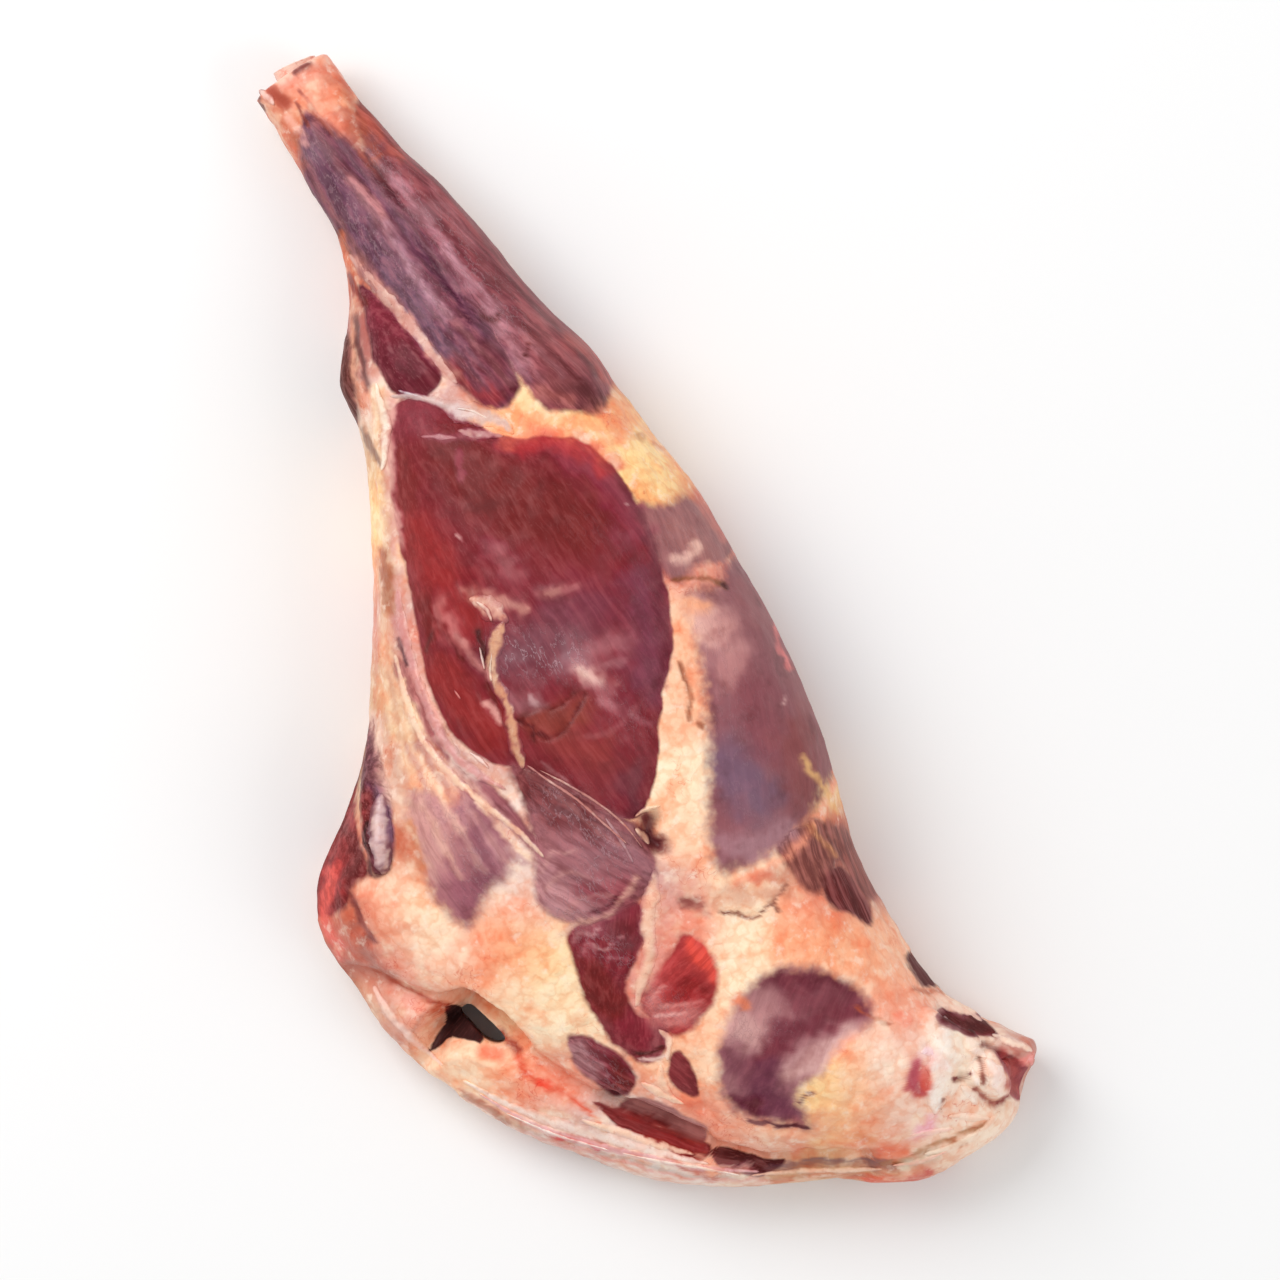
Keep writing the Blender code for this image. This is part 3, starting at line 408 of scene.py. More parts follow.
# Tones that lie on the muscles in streaks and patches, as (colour, strength, half width, path).
LEAN_MARKS = (
    ((138, 50, 62), 0.7, 9, ((-4, 112), (10, 100), (24, 84))),
    ((126, 28, 36), 0.8, 7, ((-20, 96), (-28, 66))),
    ((152, 42, 44), 0.8, 10, ((-22, 66), (-20, 44), (-16, 24))),
    ((118, 22, 24), 0.8, 4, ((-32, 38), (-30, 26))),
    ((146, 40, 42), 0.8, 8, ((-36, 10), (-33, -6), (-28, -22))),
    ((116, 26, 42), 0.85, 16, ((8, 88), (20, 62), (40, 44))),
    ((152, 72, 88), 0.6, 6, ((50, 74), (60, 52), (62, 30))),
    ((166, 92, 92), 0.6, 4, ((5, 46), (9, 34))),
    ((118, 66, 76), 0.9, 12, ((-8, 4), (6, 2), (18, 0))),
    ((122, 62, 76), 0.75, 9, ((20, 14), (34, 8))),
    ((126, 66, 84), 0.8, 9, ((54, 6), (48, -12), (40, -30))),
    ((136, 60, 50), 0.9, 8, ((-8, -27), (9, -30))),
    ((144, 60, 56), 0.8, 9, ((-2, -42), (12, -50))),
    ((130, 54, 58), 0.6, 8, ((4, -58), (18, -60))),
    ((110, 52, 62), 0.8, 6, ((18, -62), (14, -76))),
    # The next two pale patches at the outer muscle's upper end are painted highlight, a hazy sheen.
    ((242, 192, 176), 0.85, 8, ((69, -12), (75, -22))),
    ((206, 146, 142), 0.7, 8, ((80, -20), (74, -40))),
    ((152, 92, 94), 0.7, 8, ((96, -12), (104, -40), (100, -66))),
    ((138, 76, 84), 0.7, 9, ((78, -52), (76, -74))),
    # A bluish grey patch on the outer muscle: painted highlight, the sheen of the wet surface.
    ((120, 92, 112), 0.85, 11, ((58, -72), (62, -92))),
    ((176, 130, 138), 0.8, 6, ((42, -105), (54, -111), (68, -109))),
    ((136, 70, 70), 0.8, 9, ((92, -76), (82, -98))),
    ((190, 126, 118), 0.5, 7, ((80, 20), (84, 8))),
    ((132, 44, 60), 0.8, 6, ((-2, 160), (4, 148))),
    ((112, 32, 56), 0.8, 6, ((-3, 136), (4, 127))),
    ((112, 52, 66), 0.8, 6, ((26, 146), (30, 130), (34, 116))),
    ((148, 48, 54), 0.85, 7, ((20, 122), (30, 106))),
    ((110, 46, 58), 0.7, 5, ((37, 122), (38, 106))),
    ((100, 52, 54), 0.7, 5, ((64, 94), (70, 84))),
    ((196, 96, 86), 0.7, 4, ((72, 112), (80, 94))),
    ((168, 102, 102), 0.75, 8, ((56, 122), (60, 104))),
    ((186, 112, 104), 0.7, 4, ((50, 98), (56, 92))),
    ((108, 44, 46), 0.85, 8, ((-21, -46), (-14, -60), (-6, -70))),
    # Pale film on the veiled muscle, partly painted sheen.
    ((186, 134, 138), 0.85, 8, ((-31, -84), (-30, -98), (-14, -106))),
    ((160, 104, 110), 0.8, 8, ((-16, -80), (-12, -94))),
    # More of that pale film, partly painted sheen.
    ((196, 142, 144), 0.7, 5, ((-33, -92), (-25, -98), (-27, -106))),
    ((150, 98, 106), 0.8, 7, ((-2, -84), (6, -100))),
    ((140, 60, 70), 0.7, 6, ((-16, -100), (-4, -106))),
    ((112, 34, 50), 0.8, 7, ((-12, -118), (-4, -124))),
    ((120, 24, 30), 0.8, 6, ((-30, -132), (-26, -146))),
    ((140, 46, 58), 0.7, 6, ((-26, -154), (-22, -164))),
    ((158, 92, 94), 0.7, 4, ((-14, -166), (-18, -174))),
    ((234, 84, 70), 0.9, 4, ((14, -138), (16, -151))),
    ((140, 30, 34), 0.8, 4, ((3, -152), (8, -158))),
    ((206, 124, 118), 0.85, 5, ((-12, -150), (-10, -160), (0, -165))),
    ((118, 26, 40), 0.8, 5, ((-38, -172), (-36, -179))),
    ((196, 150, 152), 0.75, 3.5, ((-49, -158), (-46, -172))),
    ((142, 84, 98), 0.8, 7, ((-48, -52), (-50, -70), (-60, -84))),
    ((214, 158, 150), 0.9, 8, ((-70, -38), (-64, -48), (-66, -62))),
    ((206, 144, 140), 0.7, 6, ((-56, -40), (-54, -52))),
    ((160, 96, 110), 0.7, 5, ((-66, -68), (-69, -86))),
    ((186, 132, 138), 0.7, 4, ((-45, -66), (-42, -76))),
    ((112, 70, 96), 0.9, 4, ((-81, -28), (-82, -44))),
    ((76, 32, 38), 0.6, 3.5, ((-86, -20), (-92, -32), (-96, -44))),
    ((104, 18, 24), 0.8, 6, ((-90, -22), (-100, -38), (-106, -54))),
    ((164, 44, 52), 0.8, 4, ((-91, -26), (-96, -34))),
    ((150, 36, 38), 0.8, 5, ((-108, -40), (-114, -52))),
    ((220, 170, 164), 0.9, 9, ((14, -176), (24, -176))),
    ((178, 122, 124), 0.7, 7, ((28, -170), (36, -178))),
    ((112, 48, 60), 0.9, 5.5, ((40, -165), (54, -170), (64, -182), (67, -192))),
    ((116, 48, 60), 0.9, 6, ((20, -194), (30, -189), (46, -187), (58, -190))),
    ((120, 50, 62), 0.75, 6, ((44, -174), (52, -181), (58, -186))),
    ((108, 54, 72), 0.9, 7, ((20, -200), (16, -208), (22, -220))),
    ((124, 66, 80), 0.7, 6, ((10, -188), (12, -198))),
    ((84, 24, 42), 0.8, 4, ((5, -206), (10, -210))),
    # A pale band low in the rump's window: painted highlight.
    ((222, 178, 172), 0.9, 6, ((33, -203), (46, -202), (56, -200))))
# Silver skin, the thin pale film over the muscles, as (strength, half width, path). Its pale colour is also
# painted sheen: the strongest patches lie where the wet muscles show hazy highlights.
SILVER_SKIN_AND_SHEEN = (
    (1.0, 11, ((-8, 6), (2, 0), (14, -6))), (0.25, 14, ((44, 40), (56, 20), (52, -10))),
    (0.25, 10, ((0, 108), (24, 90))), (0.45, 12, ((24, -26), (30, -44))),
    (0.3, 8, ((-10, -50), (4, -70))), (0.4, 22, ((74, -14), (66, -60), (60, -96))),
    (0.5, 14, ((78, 22), (80, 8))), (0.7, 9, ((4, 232), (8, 200), (24, 150))),
    (0.7, 10, ((24, 220), (38, 180), (50, 130))), (0.8, 12, ((-14, -60), (-4, -90), (-28, -104))),
    (0.6, 14, ((-56, -42), (-58, -78))), (0.7, 8, ((-24, -118), (-14, -132))),
    (0.6, 9, ((-10, -152), (-2, -162))), (0.5, 10, ((18, -178), (34, -182))),
    (0.6, 8, ((-45, -160), (-40, -180))))
# Sinews, streaks, stains and dark cracks on top of muscle and fat alike, as
# (rise, colour, strength, half width, path): a rise above zero stands up, one below zero is a crack.
# Later ones lie over earlier ones.
PALE_PINK, RUST, SPLIT = (240, 178, 160), (146, 78, 50), (100, 26, 30)


def strands(left, right, rise, tones, strength, half_width):
    """Marks that run side by side between two lines of the same number of points, one of each tone."""
    left, right = np.array(left, float), np.array(right, float)
    step = (right - left) / len(tones)
    return tuple((rise, tone, strength, half_width, left + step * (k + 0.5)) for k, tone in enumerate(tones))


SHANK_STRANDS = strands(
    ((-3, 240), (-2, 215), (0, 195), (4, 170), (11, 142), (20, 112)),
    ((30, 244), (41, 210), (51, 182), (60, 152), (70, 124), (80, 96)), 0.35,
    ((150, 96, 84), (98, 74, 98), (92, 66, 92), (128, 84, 104), (176, 122, 120), (132, 70, 82),
     (104, 60, 84), (150, 96, 104), (128, 60, 70), (160, 110, 120), (118, 56, 66), (152, 84, 86),
     (124, 60, 66), (150, 78, 78)), 0.45, 1.8)
KNEE_STRANDS = strands(
    ((-14, 128), (-22, 108), (-30, 84), (-38, 62), (-52, 36), (-64, 12), (-71, -16)),
    ((-9, 120), (-13, 112), (-22, 92), (-30, 66), (-40, 40), (-44, 10), (-46, -14)), 0.5,
    ((226, 180, 136), (246, 214, 176), (206, 150, 120), (240, 200, 160), (176, 112, 96), (236, 196, 178),
     (196, 128, 120), (228, 176, 164)), 0.6, 1.9)
FLANK_STRANDS = strands(
    ((-70, -12), (-74, -30), (-76, -50), (-76, -70)),
    ((-46, -16), (-38, -34), (-32, -56), (-24, -80)), 0.4,
    ((246, 206, 180), (206, 148, 140), (240, 196, 164), (178, 120, 126), (250, 214, 184), (150, 92, 104),
     (232, 180, 164), (150, 88, 100), (240, 204, 186), (148, 84, 92)), 0.4, 1.8)
RIM_STRANDS = strands(
    ((-102, -152), (-84, -176), (-60, -194), (-40, -210), (-22, -224), (-4, -234)),
    ((-100, -164), (-86, -184), (-66, -202), (-45, -220), (-20, -236), (2, -245)), 0.7,
    ((252, 214, 190), (196, 104, 96), (246, 222, 208), (204, 190, 182), (236, 170, 160), (250, 232, 220)),
    0.7, 1.1)
LOW_RIM_STRANDS = strands(
    ((2, -236), (20, -241), (38, -249), (52, -256)),
    ((4, -245), (24, -252), (40, -260), (54, -267)), 0.5,
    ((112, 78, 86), (130, 84, 78), (170, 116, 92), (214, 168, 128), (196, 130, 98), (222, 120, 84)), 0.7, 1.0)
THIGH_THREADS = strands(
    ((-22, -42), (-14, -58), (-6, -74), (2, -88)),
    ((-12, -50), (0, -66), (10, -80), (14, -92)), 0.3,
    ((150, 96, 92), (96, 40, 44), (160, 104, 100), (92, 40, 46), (158, 110, 110)), 0.55, 0.9)
TOP_MARKS = SHANK_STRANDS + KNEE_STRANDS + FLANK_STRANDS + RIM_STRANDS + LOW_RIM_STRANDS + THIGH_THREADS + (
    # The cut hock end.
    (0.3, (250, 206, 184), 0.8, 2.6, ((0, 266), (12, 268.5), (24, 265))),
    (0, (104, 40, 36), 0.8, 1.4, ((9, 265.5), (13, 265), (17, 266))),
    (-0.5, (64, 30, 28), 0.9, 0.8, ((-8.5, 256), (-9, 260), (-7.5, 263.5), (-5, 265))),
    (-0.6, (152, 52, 34), 0.8, 3.0, ((-2, 262), (1, 254))),
    (0, (222, 110, 76), 0.7, 2.4, ((-8, 252), (-5, 226))),
    (0.4, PALE_PINK, 0.8, 2.0, ((-1, 249), (2, 236))),
    (-0.4, (132, 54, 44), 0.8, 0.9, ((5, 251), (5.5, 242))),
    (-0.4, (150, 70, 60), 0.8, 0.9, ((8, 257), (11, 246), (13, 234))),
    (0.5, (238, 152, 126), 0.75, 4.5, ((15, 256), (15, 244), (18, 234))),
    (0, (194, 100, 70), 0.7, 3.5, ((24, 252), (26, 234), (26, 218))),
    (0, (176, 84, 70), 0.8, 2.6, ((29, 240), (32, 228), (36, 214))),
    # The shank.
    (0.6, (206, 142, 140), 0.75, 2.0, ((12, 214), (16, 204), (19, 196), (19, 188))),
    # The next three pale lilac sinews on the calf: their lilac is partly painted sheen.
    (0.5, (184, 138, 154), 0.7, 2.6, ((19, 190), (21, 174), (23, 158), (27, 144))),
    (0.6, (186, 128, 140), 0.7, 2.6, ((29, 208), (33, 195), (36, 180), (38, 165))),
    (0.5, (192, 142, 154), 0.7, 3.0, ((37, 170), (41, 154), (44, 140), (45, 132))),
    (0.4, (178, 112, 118), 0.6, 1.4, ((42, 200), (46, 182), (50, 168))),
    (-0.5, (84, 40, 60), 0.7, 1.4, ((27, 180), (30, 164), (33, 150), (34, 138))),
    (-0.4, (84, 36, 44), 0.7, 1.3, ((23, 222), (25, 208), (27, 196))),
    (-1.0, (62, 24, 26), 0.8, 1.2, ((-1.5, 196), (-1, 186))),
    (0, (214, 108, 62), 0.8, 2.0, ((-1, 194), (-3, 182), (-5, 172))),
    (-0.8, (110, 26, 24), 0.8, 1.6, ((-4.5, 177), (-4, 164))),
    (0.8, (206, 146, 132), 0.95, 2.6, ((1, 182), (5, 168), (9, 155), (12, 141), (15, 130), (18, 120))),
    (0.5, (216, 158, 130), 0.85, 1.6, ((-7, 166), (-14, 150), (-19, 138), (-21, 126))),
    (-1.0, (80, 34, 32), 0.75, 1.3, ((-9, 160), (-13, 146), (-16, 130))),
    (-0.5, (84, 34, 34), 0.8, 1.2, ((40, 137), (44, 134), (47, 135.5))),
    (0, (176, 120, 130), 0.7, 4.0, ((45, 128), (46, 114))),
    (-0.4, (92, 36, 36), 0.85, 0.8, ((50, 115), (54, 119.5))),
    (-0.3, (110, 46, 50), 0.6, 1.0, ((54, 128), (62, 112), (66, 98))),
    # The knee and its fat.
    (0.2, (196, 146, 142), 0.5, 1.4, ((12, 95.5), (16, 94), (21, 92.5))),
    (0.2, (176, 110, 112), 0.4, 1.4, ((0, 100), (5, 98), (12, 95))),
    (0.2, (170, 92, 98), 0.5, 1.6, ((8, 89), (4, 79))),
    (0, (196, 58, 58), 0.6, 4.0, ((32, 80), (41, 81), (50, 75), (58, 66), (62, 56))),
    (0, (240, 116, 88), 0.5, 3.5, ((29, 85), (38, 87), (48, 82), (59, 72), (66, 60))),
    (0, (252, 168, 118), 0.75, 3.0, ((30, 90), (44, 89), (58, 80), (70, 68))),
    (0, (176, 108, 62), 0.7, 1.5, ((79, 67), (81, 65))),
    (0, (176, 110, 66), 0.7, 1.4, ((84.5, 59), (86, 57))),
    (0, (246, 152, 110), 0.7, 4.5, ((70, 82), (74, 70))),
    (0, (246, 150, 100), 0.6, 3.0, ((76, 84), (84, 66), (90, 48))),
    # The left edge of the thigh.
    (-0.5, (124, 78, 58), 0.8, 1.6, ((-24, 98), (-25, 106), (-26, 116))),
    (0, (156, 78, 46), 0.85, 3.0, ((-38, 64), (-42, 54), (-46, 42))),
    (0, (188, 116, 112), 0.8, 3.0, ((-45, 36), (-47, 20), (-50, 4))),
    (0, (206, 160, 142), 0.8, 5.0, ((-68, 0), (-72, -18), (-74, -32))),
    (-0.6, (76, 26, 30), 0.85, 1.1, ((-47, 28), (-48, 18))),
    (0.5, (240, 176, 160), 0.85, 1.7, ((-46, 14), (-45.5, 0), (-45, -11))),
    (0.5, (250, 214, 176), 0.9, 1.5, ((-53, 12), (-55, -8))),
    (0.4, (216, 184, 174), 0.85, 2.2, ((-47, -14), (-46, -25), (-41, -37))),
    # The round of the thigh.
    (-0.7, (92, 14, 18), 0.7, 1.0, ((-38, 19), (-35, 23), (-31, 26), (-28, 31))),
    (-0.7, (74, 14, 18), 0.85, 1.1, ((-14, 18), (-16, 9), (-17.5, 1))),
    (-0.5, (96, 18, 22), 0.75, 0.9, ((-20.5, -4), (-20.8, -25))),
    (-0.5, (96, 20, 24), 0.7, 0.9, ((-27, 34), (-27, 22), (-25, 10))),
    (-0.6, (92, 30, 28), 0.75, 1.0, ((-14, -23), (-11, -27), (-12, -33))),
    (-0.6, (96, 36, 32), 0.7, 0.9, ((-14, -23), (-6, -21.5), (3, -24), (9, -22), (17, -21))),
    (-0.6, (92, 34, 30), 0.7, 1.0, ((-11, -31), (-4, -35), (3, -33), (9, -29), (15, -24))),
    (0, (222, 196, 192), 0.7, 1.4, ((-6, -17), (-5, -19))),
    (0, (240, 206, 196), 0.9, 0.8, ((62, 42.5), (62.5, 41.5))),
    (0, (236, 200, 188), 0.85, 0.8, ((-7, 57.5), (-6.5, 56.5))),
    (0.3, (186, 116, 116), 0.65, 2.6, ((15, 22), (21, 20), (30, 19))),
    (0.4, (208, 148, 138), 0.8, 1.4, ((18, 21.5), (22, 20.5))),
    (0.3, (186, 130, 134), 0.55, 6.0, ((20, -13), (28, -11), (36, -9))),
    (0.4, (222, 170, 160), 0.8, 4.0, ((16, -13), (20, -17), (24, -22))),
    (0.6, (244, 206, 190), 0.85, 2.0, ((18, -15), (20.5, -18), (22, -22))),
    (0.2, (182, 126, 130), 0.5, 3.5, ((20, -22), (22, -28), (25, -33))),
    (0.2, (184, 132, 134), 0.5, 2.4, ((26, -16), (34, -18))),
    (0.2, (166, 128, 132), 0.5, 3.5, ((-13, -15), (-8, -19), (-3, -19))),
    (0.2, (162, 86, 94), 0.5, 3.6, ((4, 50), (6, 40), (8, 32))),
    (0.5, (196, 116, 112), 0.75, 3.5, ((-23, 35), (-25, 28), (-23.5, 18))),
    (0.4, (204, 136, 128), 0.75, 1.9, ((-23, 20), (-21, 8), (-19, -1))),
    (0.4, (234, 176, 164), 0.85, 1.8, ((-24, -10), (-22.5, -15), (-22, -20))),
    (0.4, (214, 158, 140), 0.7, 3.5, ((-12, 33), (-4, 26), (4, 20))),
    (0.2, (176, 112, 118), 0.5, 1.4, ((20, -30), (28, -37), (34, -46))),
    (0.2, (172, 108, 110), 0.4, 1.4, ((10, -40), (22, -42), (32, -38))),
    (0.2, (188, 140, 140), 0.5, 0.8, ((-13, -43), (-8, -52), (-4, -60))),
    # The outer muscle and the fat beside it.
    (0, (106, 46, 58), 0.6, 2.4, ((64, 44), (65, 20), (59, 0), (53, -20), (46, -33))),
    (0, (214, 120, 104), 0.6, 3.0, ((92, 34), (96, 12))),
    (0.5, (244, 196, 178), 0.85, 2.6, ((72, 12), (77, 9), (83, 14))),
    (-0.6, (140, 78, 44), 0.9, 1.2, ((69, 4), (75, 1.5), (81, -1), (86, -6))),
    (0, (74, 32, 22), 0.85, 1.1, ((85, -5), (87, -7))),
    (0, (252, 172, 128), 0.75, 3.4, ((70, -8), (75, -11))),
    (0.3, (240, 130, 126), 0.8, 1.1, ((99, -31), (97, -40), (98, -49))),
    (0.2, (236, 196, 188), 0.6, 0.8, ((92, -58), (89, -62))),
    (-0.6, RUST, 0.9, 1.1, ((56, -28), (55.5, -38), (52, -48), (50, -51))),
    (0, RUST, 0.8, 1.1, ((53.5, -53), (54.5, -56))),
    (0, (236, 150, 112), 0.6, 2.2, ((59, -30), (57, -44))),
    (0.5, (250, 160, 126), 0.85, 2.2, ((40, -121), (54, -121.5), (68, -119), (86, -109), (98, -98))),
    # The muscles and bands below the round.
    (0.3, (196, 144, 140), 0.75, 1.1, ((-33, -84), (-24, -79), (-16, -82))),
    (0.3, (196, 144, 140), 0.7, 1.0, ((-34, -92), (-24, -88), (-14, -93))),
    (0.3, (190, 134, 132), 0.7, 1.0, ((-30, -104), (-20, -101), (-8, -104))),
    (0.5, (214, 160, 144), 0.85, 1.4, ((-36, -112), (-24, -109.5), (-14, -111.5), (-5, -108), (3, -103))),
    (-0.4, (84, 26, 38), 0.75, 1.0, ((-20, -107), (-12, -108.5), (-5, -105))),
    (0.2, (214, 168, 164), 0.6, 0.9, ((-31, -117), (-27, -114), (-23, -117), (-19, -115))),
    (0.2, (196, 140, 140), 0.5, 0.9, ((-31, -122), (-27, -119), (-24, -123))),
    (0.2, (196, 140, 140), 0.5, 0.9, ((-21, -127), (-17, -129), (-13, -132))),
    (0.3, (206, 156, 152), 0.7, 0.7, ((-24, -121), (-18, -124), (-12, -123))),
    (0.4, (244, 210, 198), 0.9, 1.0, ((-26, -173), (-20, -175), (-15, -176))),
    (-0.5, (84, 10, 22), 0.85, 0.8, ((-27, -170), (-20, -172), (-14, -172.5))),
    (0.7, (236, 184, 156), 0.9, 2.8, ((7, -113), (0, -122), (-4, -134), (-14, -144))),
    (0.2, (226, 160, 152), 0.6, 1.0, ((-14, -152), (-9, -149.5), (-5, -148))),
    (0.2, (226, 160, 152), 0.6, 1.0, ((-9, -155.5), (-3, -158), (8, -160))),
    (0.3, (236, 184, 176), 0.7, 0.7, ((-13, -158), (-7, -161), (-1, -162.5))),
    (0, (236, 138, 112), 0.6, 3.0, ((15, -128), (20, -134))),
    (-1.0, (122, 50, 46), 0.8, 3.0, ((18, -120), (22, -123))),
    (0, (176, 84, 70), 0.7, 1.6, ((21, -126), (24, -128))),
    (-1.0, (86, 22, 30), 0.9, 3.2, ((17, -82), (15, -88), (18, -95))),
    (-0.7, (116, 54, 38), 0.9, 0.8, ((30, -129), (36, -134.5), (44, -136.5), (52, -134.5), (60, -130.5))),
    (-0.5, (124, 60, 42), 0.8, 0.7, ((52, -135), (52, -138.5))),
    (0, (214, 118, 92), 0.7, 3.4, ((50, -123), (60, -125))),
    (0, (204, 138, 112), 0.6, 4.5, ((30, -122), (42, -128), (58, -130))),
    (0.5, (240, 190, 120), 0.85, 1.5, ((87, -85), (90, -100), (92, -114))),
    (0.4, (220, 156, 100), 0.8, 1.5, ((78, -112), (83, -128))),
    (-0.4, (120, 60, 48), 0.8, 1.3, ((82, -112), (87, -128))),
    (0, (140, 68, 60), 0.6, 3.0, ((88, -126), (90, -150))),
    # The flank and its flap.
    (0.8, (230, 190, 170), 0.9, 2.8, ((-71, 4), (-73, -14), (-76, -30), (-76, -42))),
    (-0.5, (210, 124, 78), 0.7, 1.8, ((-74, -43), (-76, -53), (-76.5, -64))),
    (0.5, (244, 206, 176), 0.9, 1.4, ((-48, -34), (-44, -46), (-40, -62), (-35, -76))),
    (-0.4, (64, 20, 24), 0.8, 1.0, ((-91, -36), (-95.5, -46), (-98, -57))),
    (0, (236, 100, 86), 0.8, 4.0, ((-115, -49), (-120, -58), (-126, -68), (-125, -82))),
    (-1.4, (116, 40, 36), 0.85, 1.5, ((-109, -62), (-110, -71), (-108.5, -82))),
    (0, (168, 104, 92), 0.7, 3.0, ((-113, -74), (-112, -92), (-108, -100))),
    (0, (248, 150, 116), 0.75, 3.6, ((-101, -62), (-96, -70))),
    (0, (230, 136, 104), 0.6, 4.0, ((-100, -80), (-92, -84))),
    (-0.6, (176, 70, 46), 0.9, 1.2, ((-110, -100), (-104, -107), (-98, -115), (-92, -120))),
    (0, (196, 84, 54), 0.85, 2.0, ((-97.5, -121), (-95, -121.5))),
    (0, (214, 160, 144), 0.7, 4.0, ((-117, -100), (-117, -124))),
    (0, (250, 120, 90), 0.75, 3.0, ((-86, -144), (-80, -148))),
    (0, (244, 142, 104), 0.7, 3.5, ((-72, -144), (-68, -150))),
    (0, (150, 44, 32), 0.85, 1.5, ((-77, -136), (-75, -143), (-72, -151))),
    (-0.3, (220, 84, 54), 0.85, 1.2, ((-73, -152), (-73, -160), (-71, -164), (-67.5, -168), (-63, -173),
                                      (-59, -179), (-56, -185), (-53, -191))),
    (0, (236, 120, 84), 0.7, 1.0, ((-67, -155), (-63, -168), (-58, -176))),
    (0, (240, 66, 42), 0.85, 1.5, ((-69, -166), (-66.5, -168.5))),
    (0.4, (176, 116, 92), 0.7, 2.0, ((-101, -157), (-92, -170), (-84, -181))),
    (-0.5, (112, 10, 8), 0.8, 1.4, ((-50, -184), (-44, -189), (-36, -196), (-28, -203))),
    (-0.4, (206, 116, 100), 0.8, 1.1, ((-36, -212), (-26, -224), (-18, -233))),
    (0.8, (254, 210, 180), 0.9, 1.8, ((-20, -222), (-17.5, -230))),
    (0.4, (206, 66, 70), 0.85, 0.9, ((-74, -189.5), (-64, -196), (-58, -202))),
    (0, (222, 48, 38), 0.85, 1.2, ((-72.5, -190), (-71.5, -190))),
    # The rump and the tail.
    (0, (232, 142, 116), 0.6, 6.0, ((20, -231), (30, -230))),
    (0, (222, 124, 74), 0.6, 2.4, ((45, -240), (48, -244))),
    (0, (240, 120, 82), 0.7, 3.4, ((52, -251), (60, -254))),
    (0, (250, 128, 100), 0.8, 2.4, ((81.5, -200), (82.5, -203))),
    (-0.4, (176, 84, 58), 0.85, 0.9, ((66, -189), (69, -195), (75, -201))),
    (-0.3, (76, 26, 38), 0.9, 0.9, ((5, -215), (12, -220), (20, -224.5), (27, -228))),
    (0, (84, 36, 48), 0.85, 0.9, ((27, -216.5), (34, -215))),
    (0, (238, 132, 94), 0.85, 2.6, ((21, -166.5), (23, -169.5))),
    (-0.8, (196, 108, 72), 0.85, 1.1, ((90, -194), (96, -198), (104, -202))),
    (0, (252, 230, 212), 0.85, 9, ((94, -214), (91, -232), (88, -248))),
    (0, (250, 216, 196), 0.7, 8, ((68, -212), (66, -232), (74, -246))),
    (0, (253, 226, 208), 0.85, 7, ((102, -228), (104, -246))),
    (-0.9, (120, 62, 46), 0.85, 0.8, ((79, -243.5), (82.5, -241))),
    (-0.9, SPLIT, 0.85, 1.0, ((89.5, -234.5), (94, -236.5), (97.5, -235.5))),
    (-0.9, (136, 62, 48), 0.9, 0.9, ((100.5, -241), (101, -238), (103.5, -231))),
    (-0.9, (150, 62, 52), 0.85, 1.1, ((97, -243), (99, -247), (102, -252))),
    (-0.8, (130, 46, 42), 0.85, 0.9, ((103, -252.5), (107.5, -251.5), (112, -251))),
    (-1.0, (120, 56, 48), 0.9, 1.1, ((107, -227), (113, -232), (117, -238))),
    (0, (176, 76, 70), 0.9, 3.6, ((113, -250), (115, -242), (116, -236))),
    (0, (252, 142, 132), 0.85, 2.2, ((121, -242), (125, -240))),
    (0, (84, 14, 26), 0.9, 2.8, ((97, -209.5), (103, -215), (110, -222))),
    (0, (190, 76, 84), 0.9, 3.6, ((77.5, -224), (78, -231))),
    (0, (176, 64, 80), 0.95, 3.6, ((78, -221.5), (76.5, -229))),
    (0, (216, 92, 78), 0.9, 3.2, ((81, -227), (79, -233))),
    (0, (250, 176, 196), 0.75, 3.2, ((67, -250), (74, -247))),
    (0, (246, 196, 198), 0.8, 3.0, ((84, -219), (88, -226))),
    (-0.6, (176, 116, 76), 0.8, 0.9, ((48, -256), (60, -258), (78, -257), (95, -258))),
    (0, (214, 200, 176), 0.8, 2.6, ((56, -260.5), (70, -261))),
    (0, (236, 100, 60), 0.85, 2.4, ((40, -260), (50, -264), (60, -267))),
    (0, (196, 44, 34), 0.85, 1.8, ((58, -267.5), (66, -267.8))),
    (0, (176, 104, 66), 0.8, 1.2, ((78, -258), (81, -261), (84, -262))))


def srgb(colour):
    """A colour of 0 to 255 as linear light: below a small step in proportion, above it a power curve."""
    c = np.asarray(colour, float) / 255.0
    return np.where(c <= 0.04045, c / 12.92, ((c + 0.055) / 1.055) ** 2.4)


BROAD_PATCH = 3.5


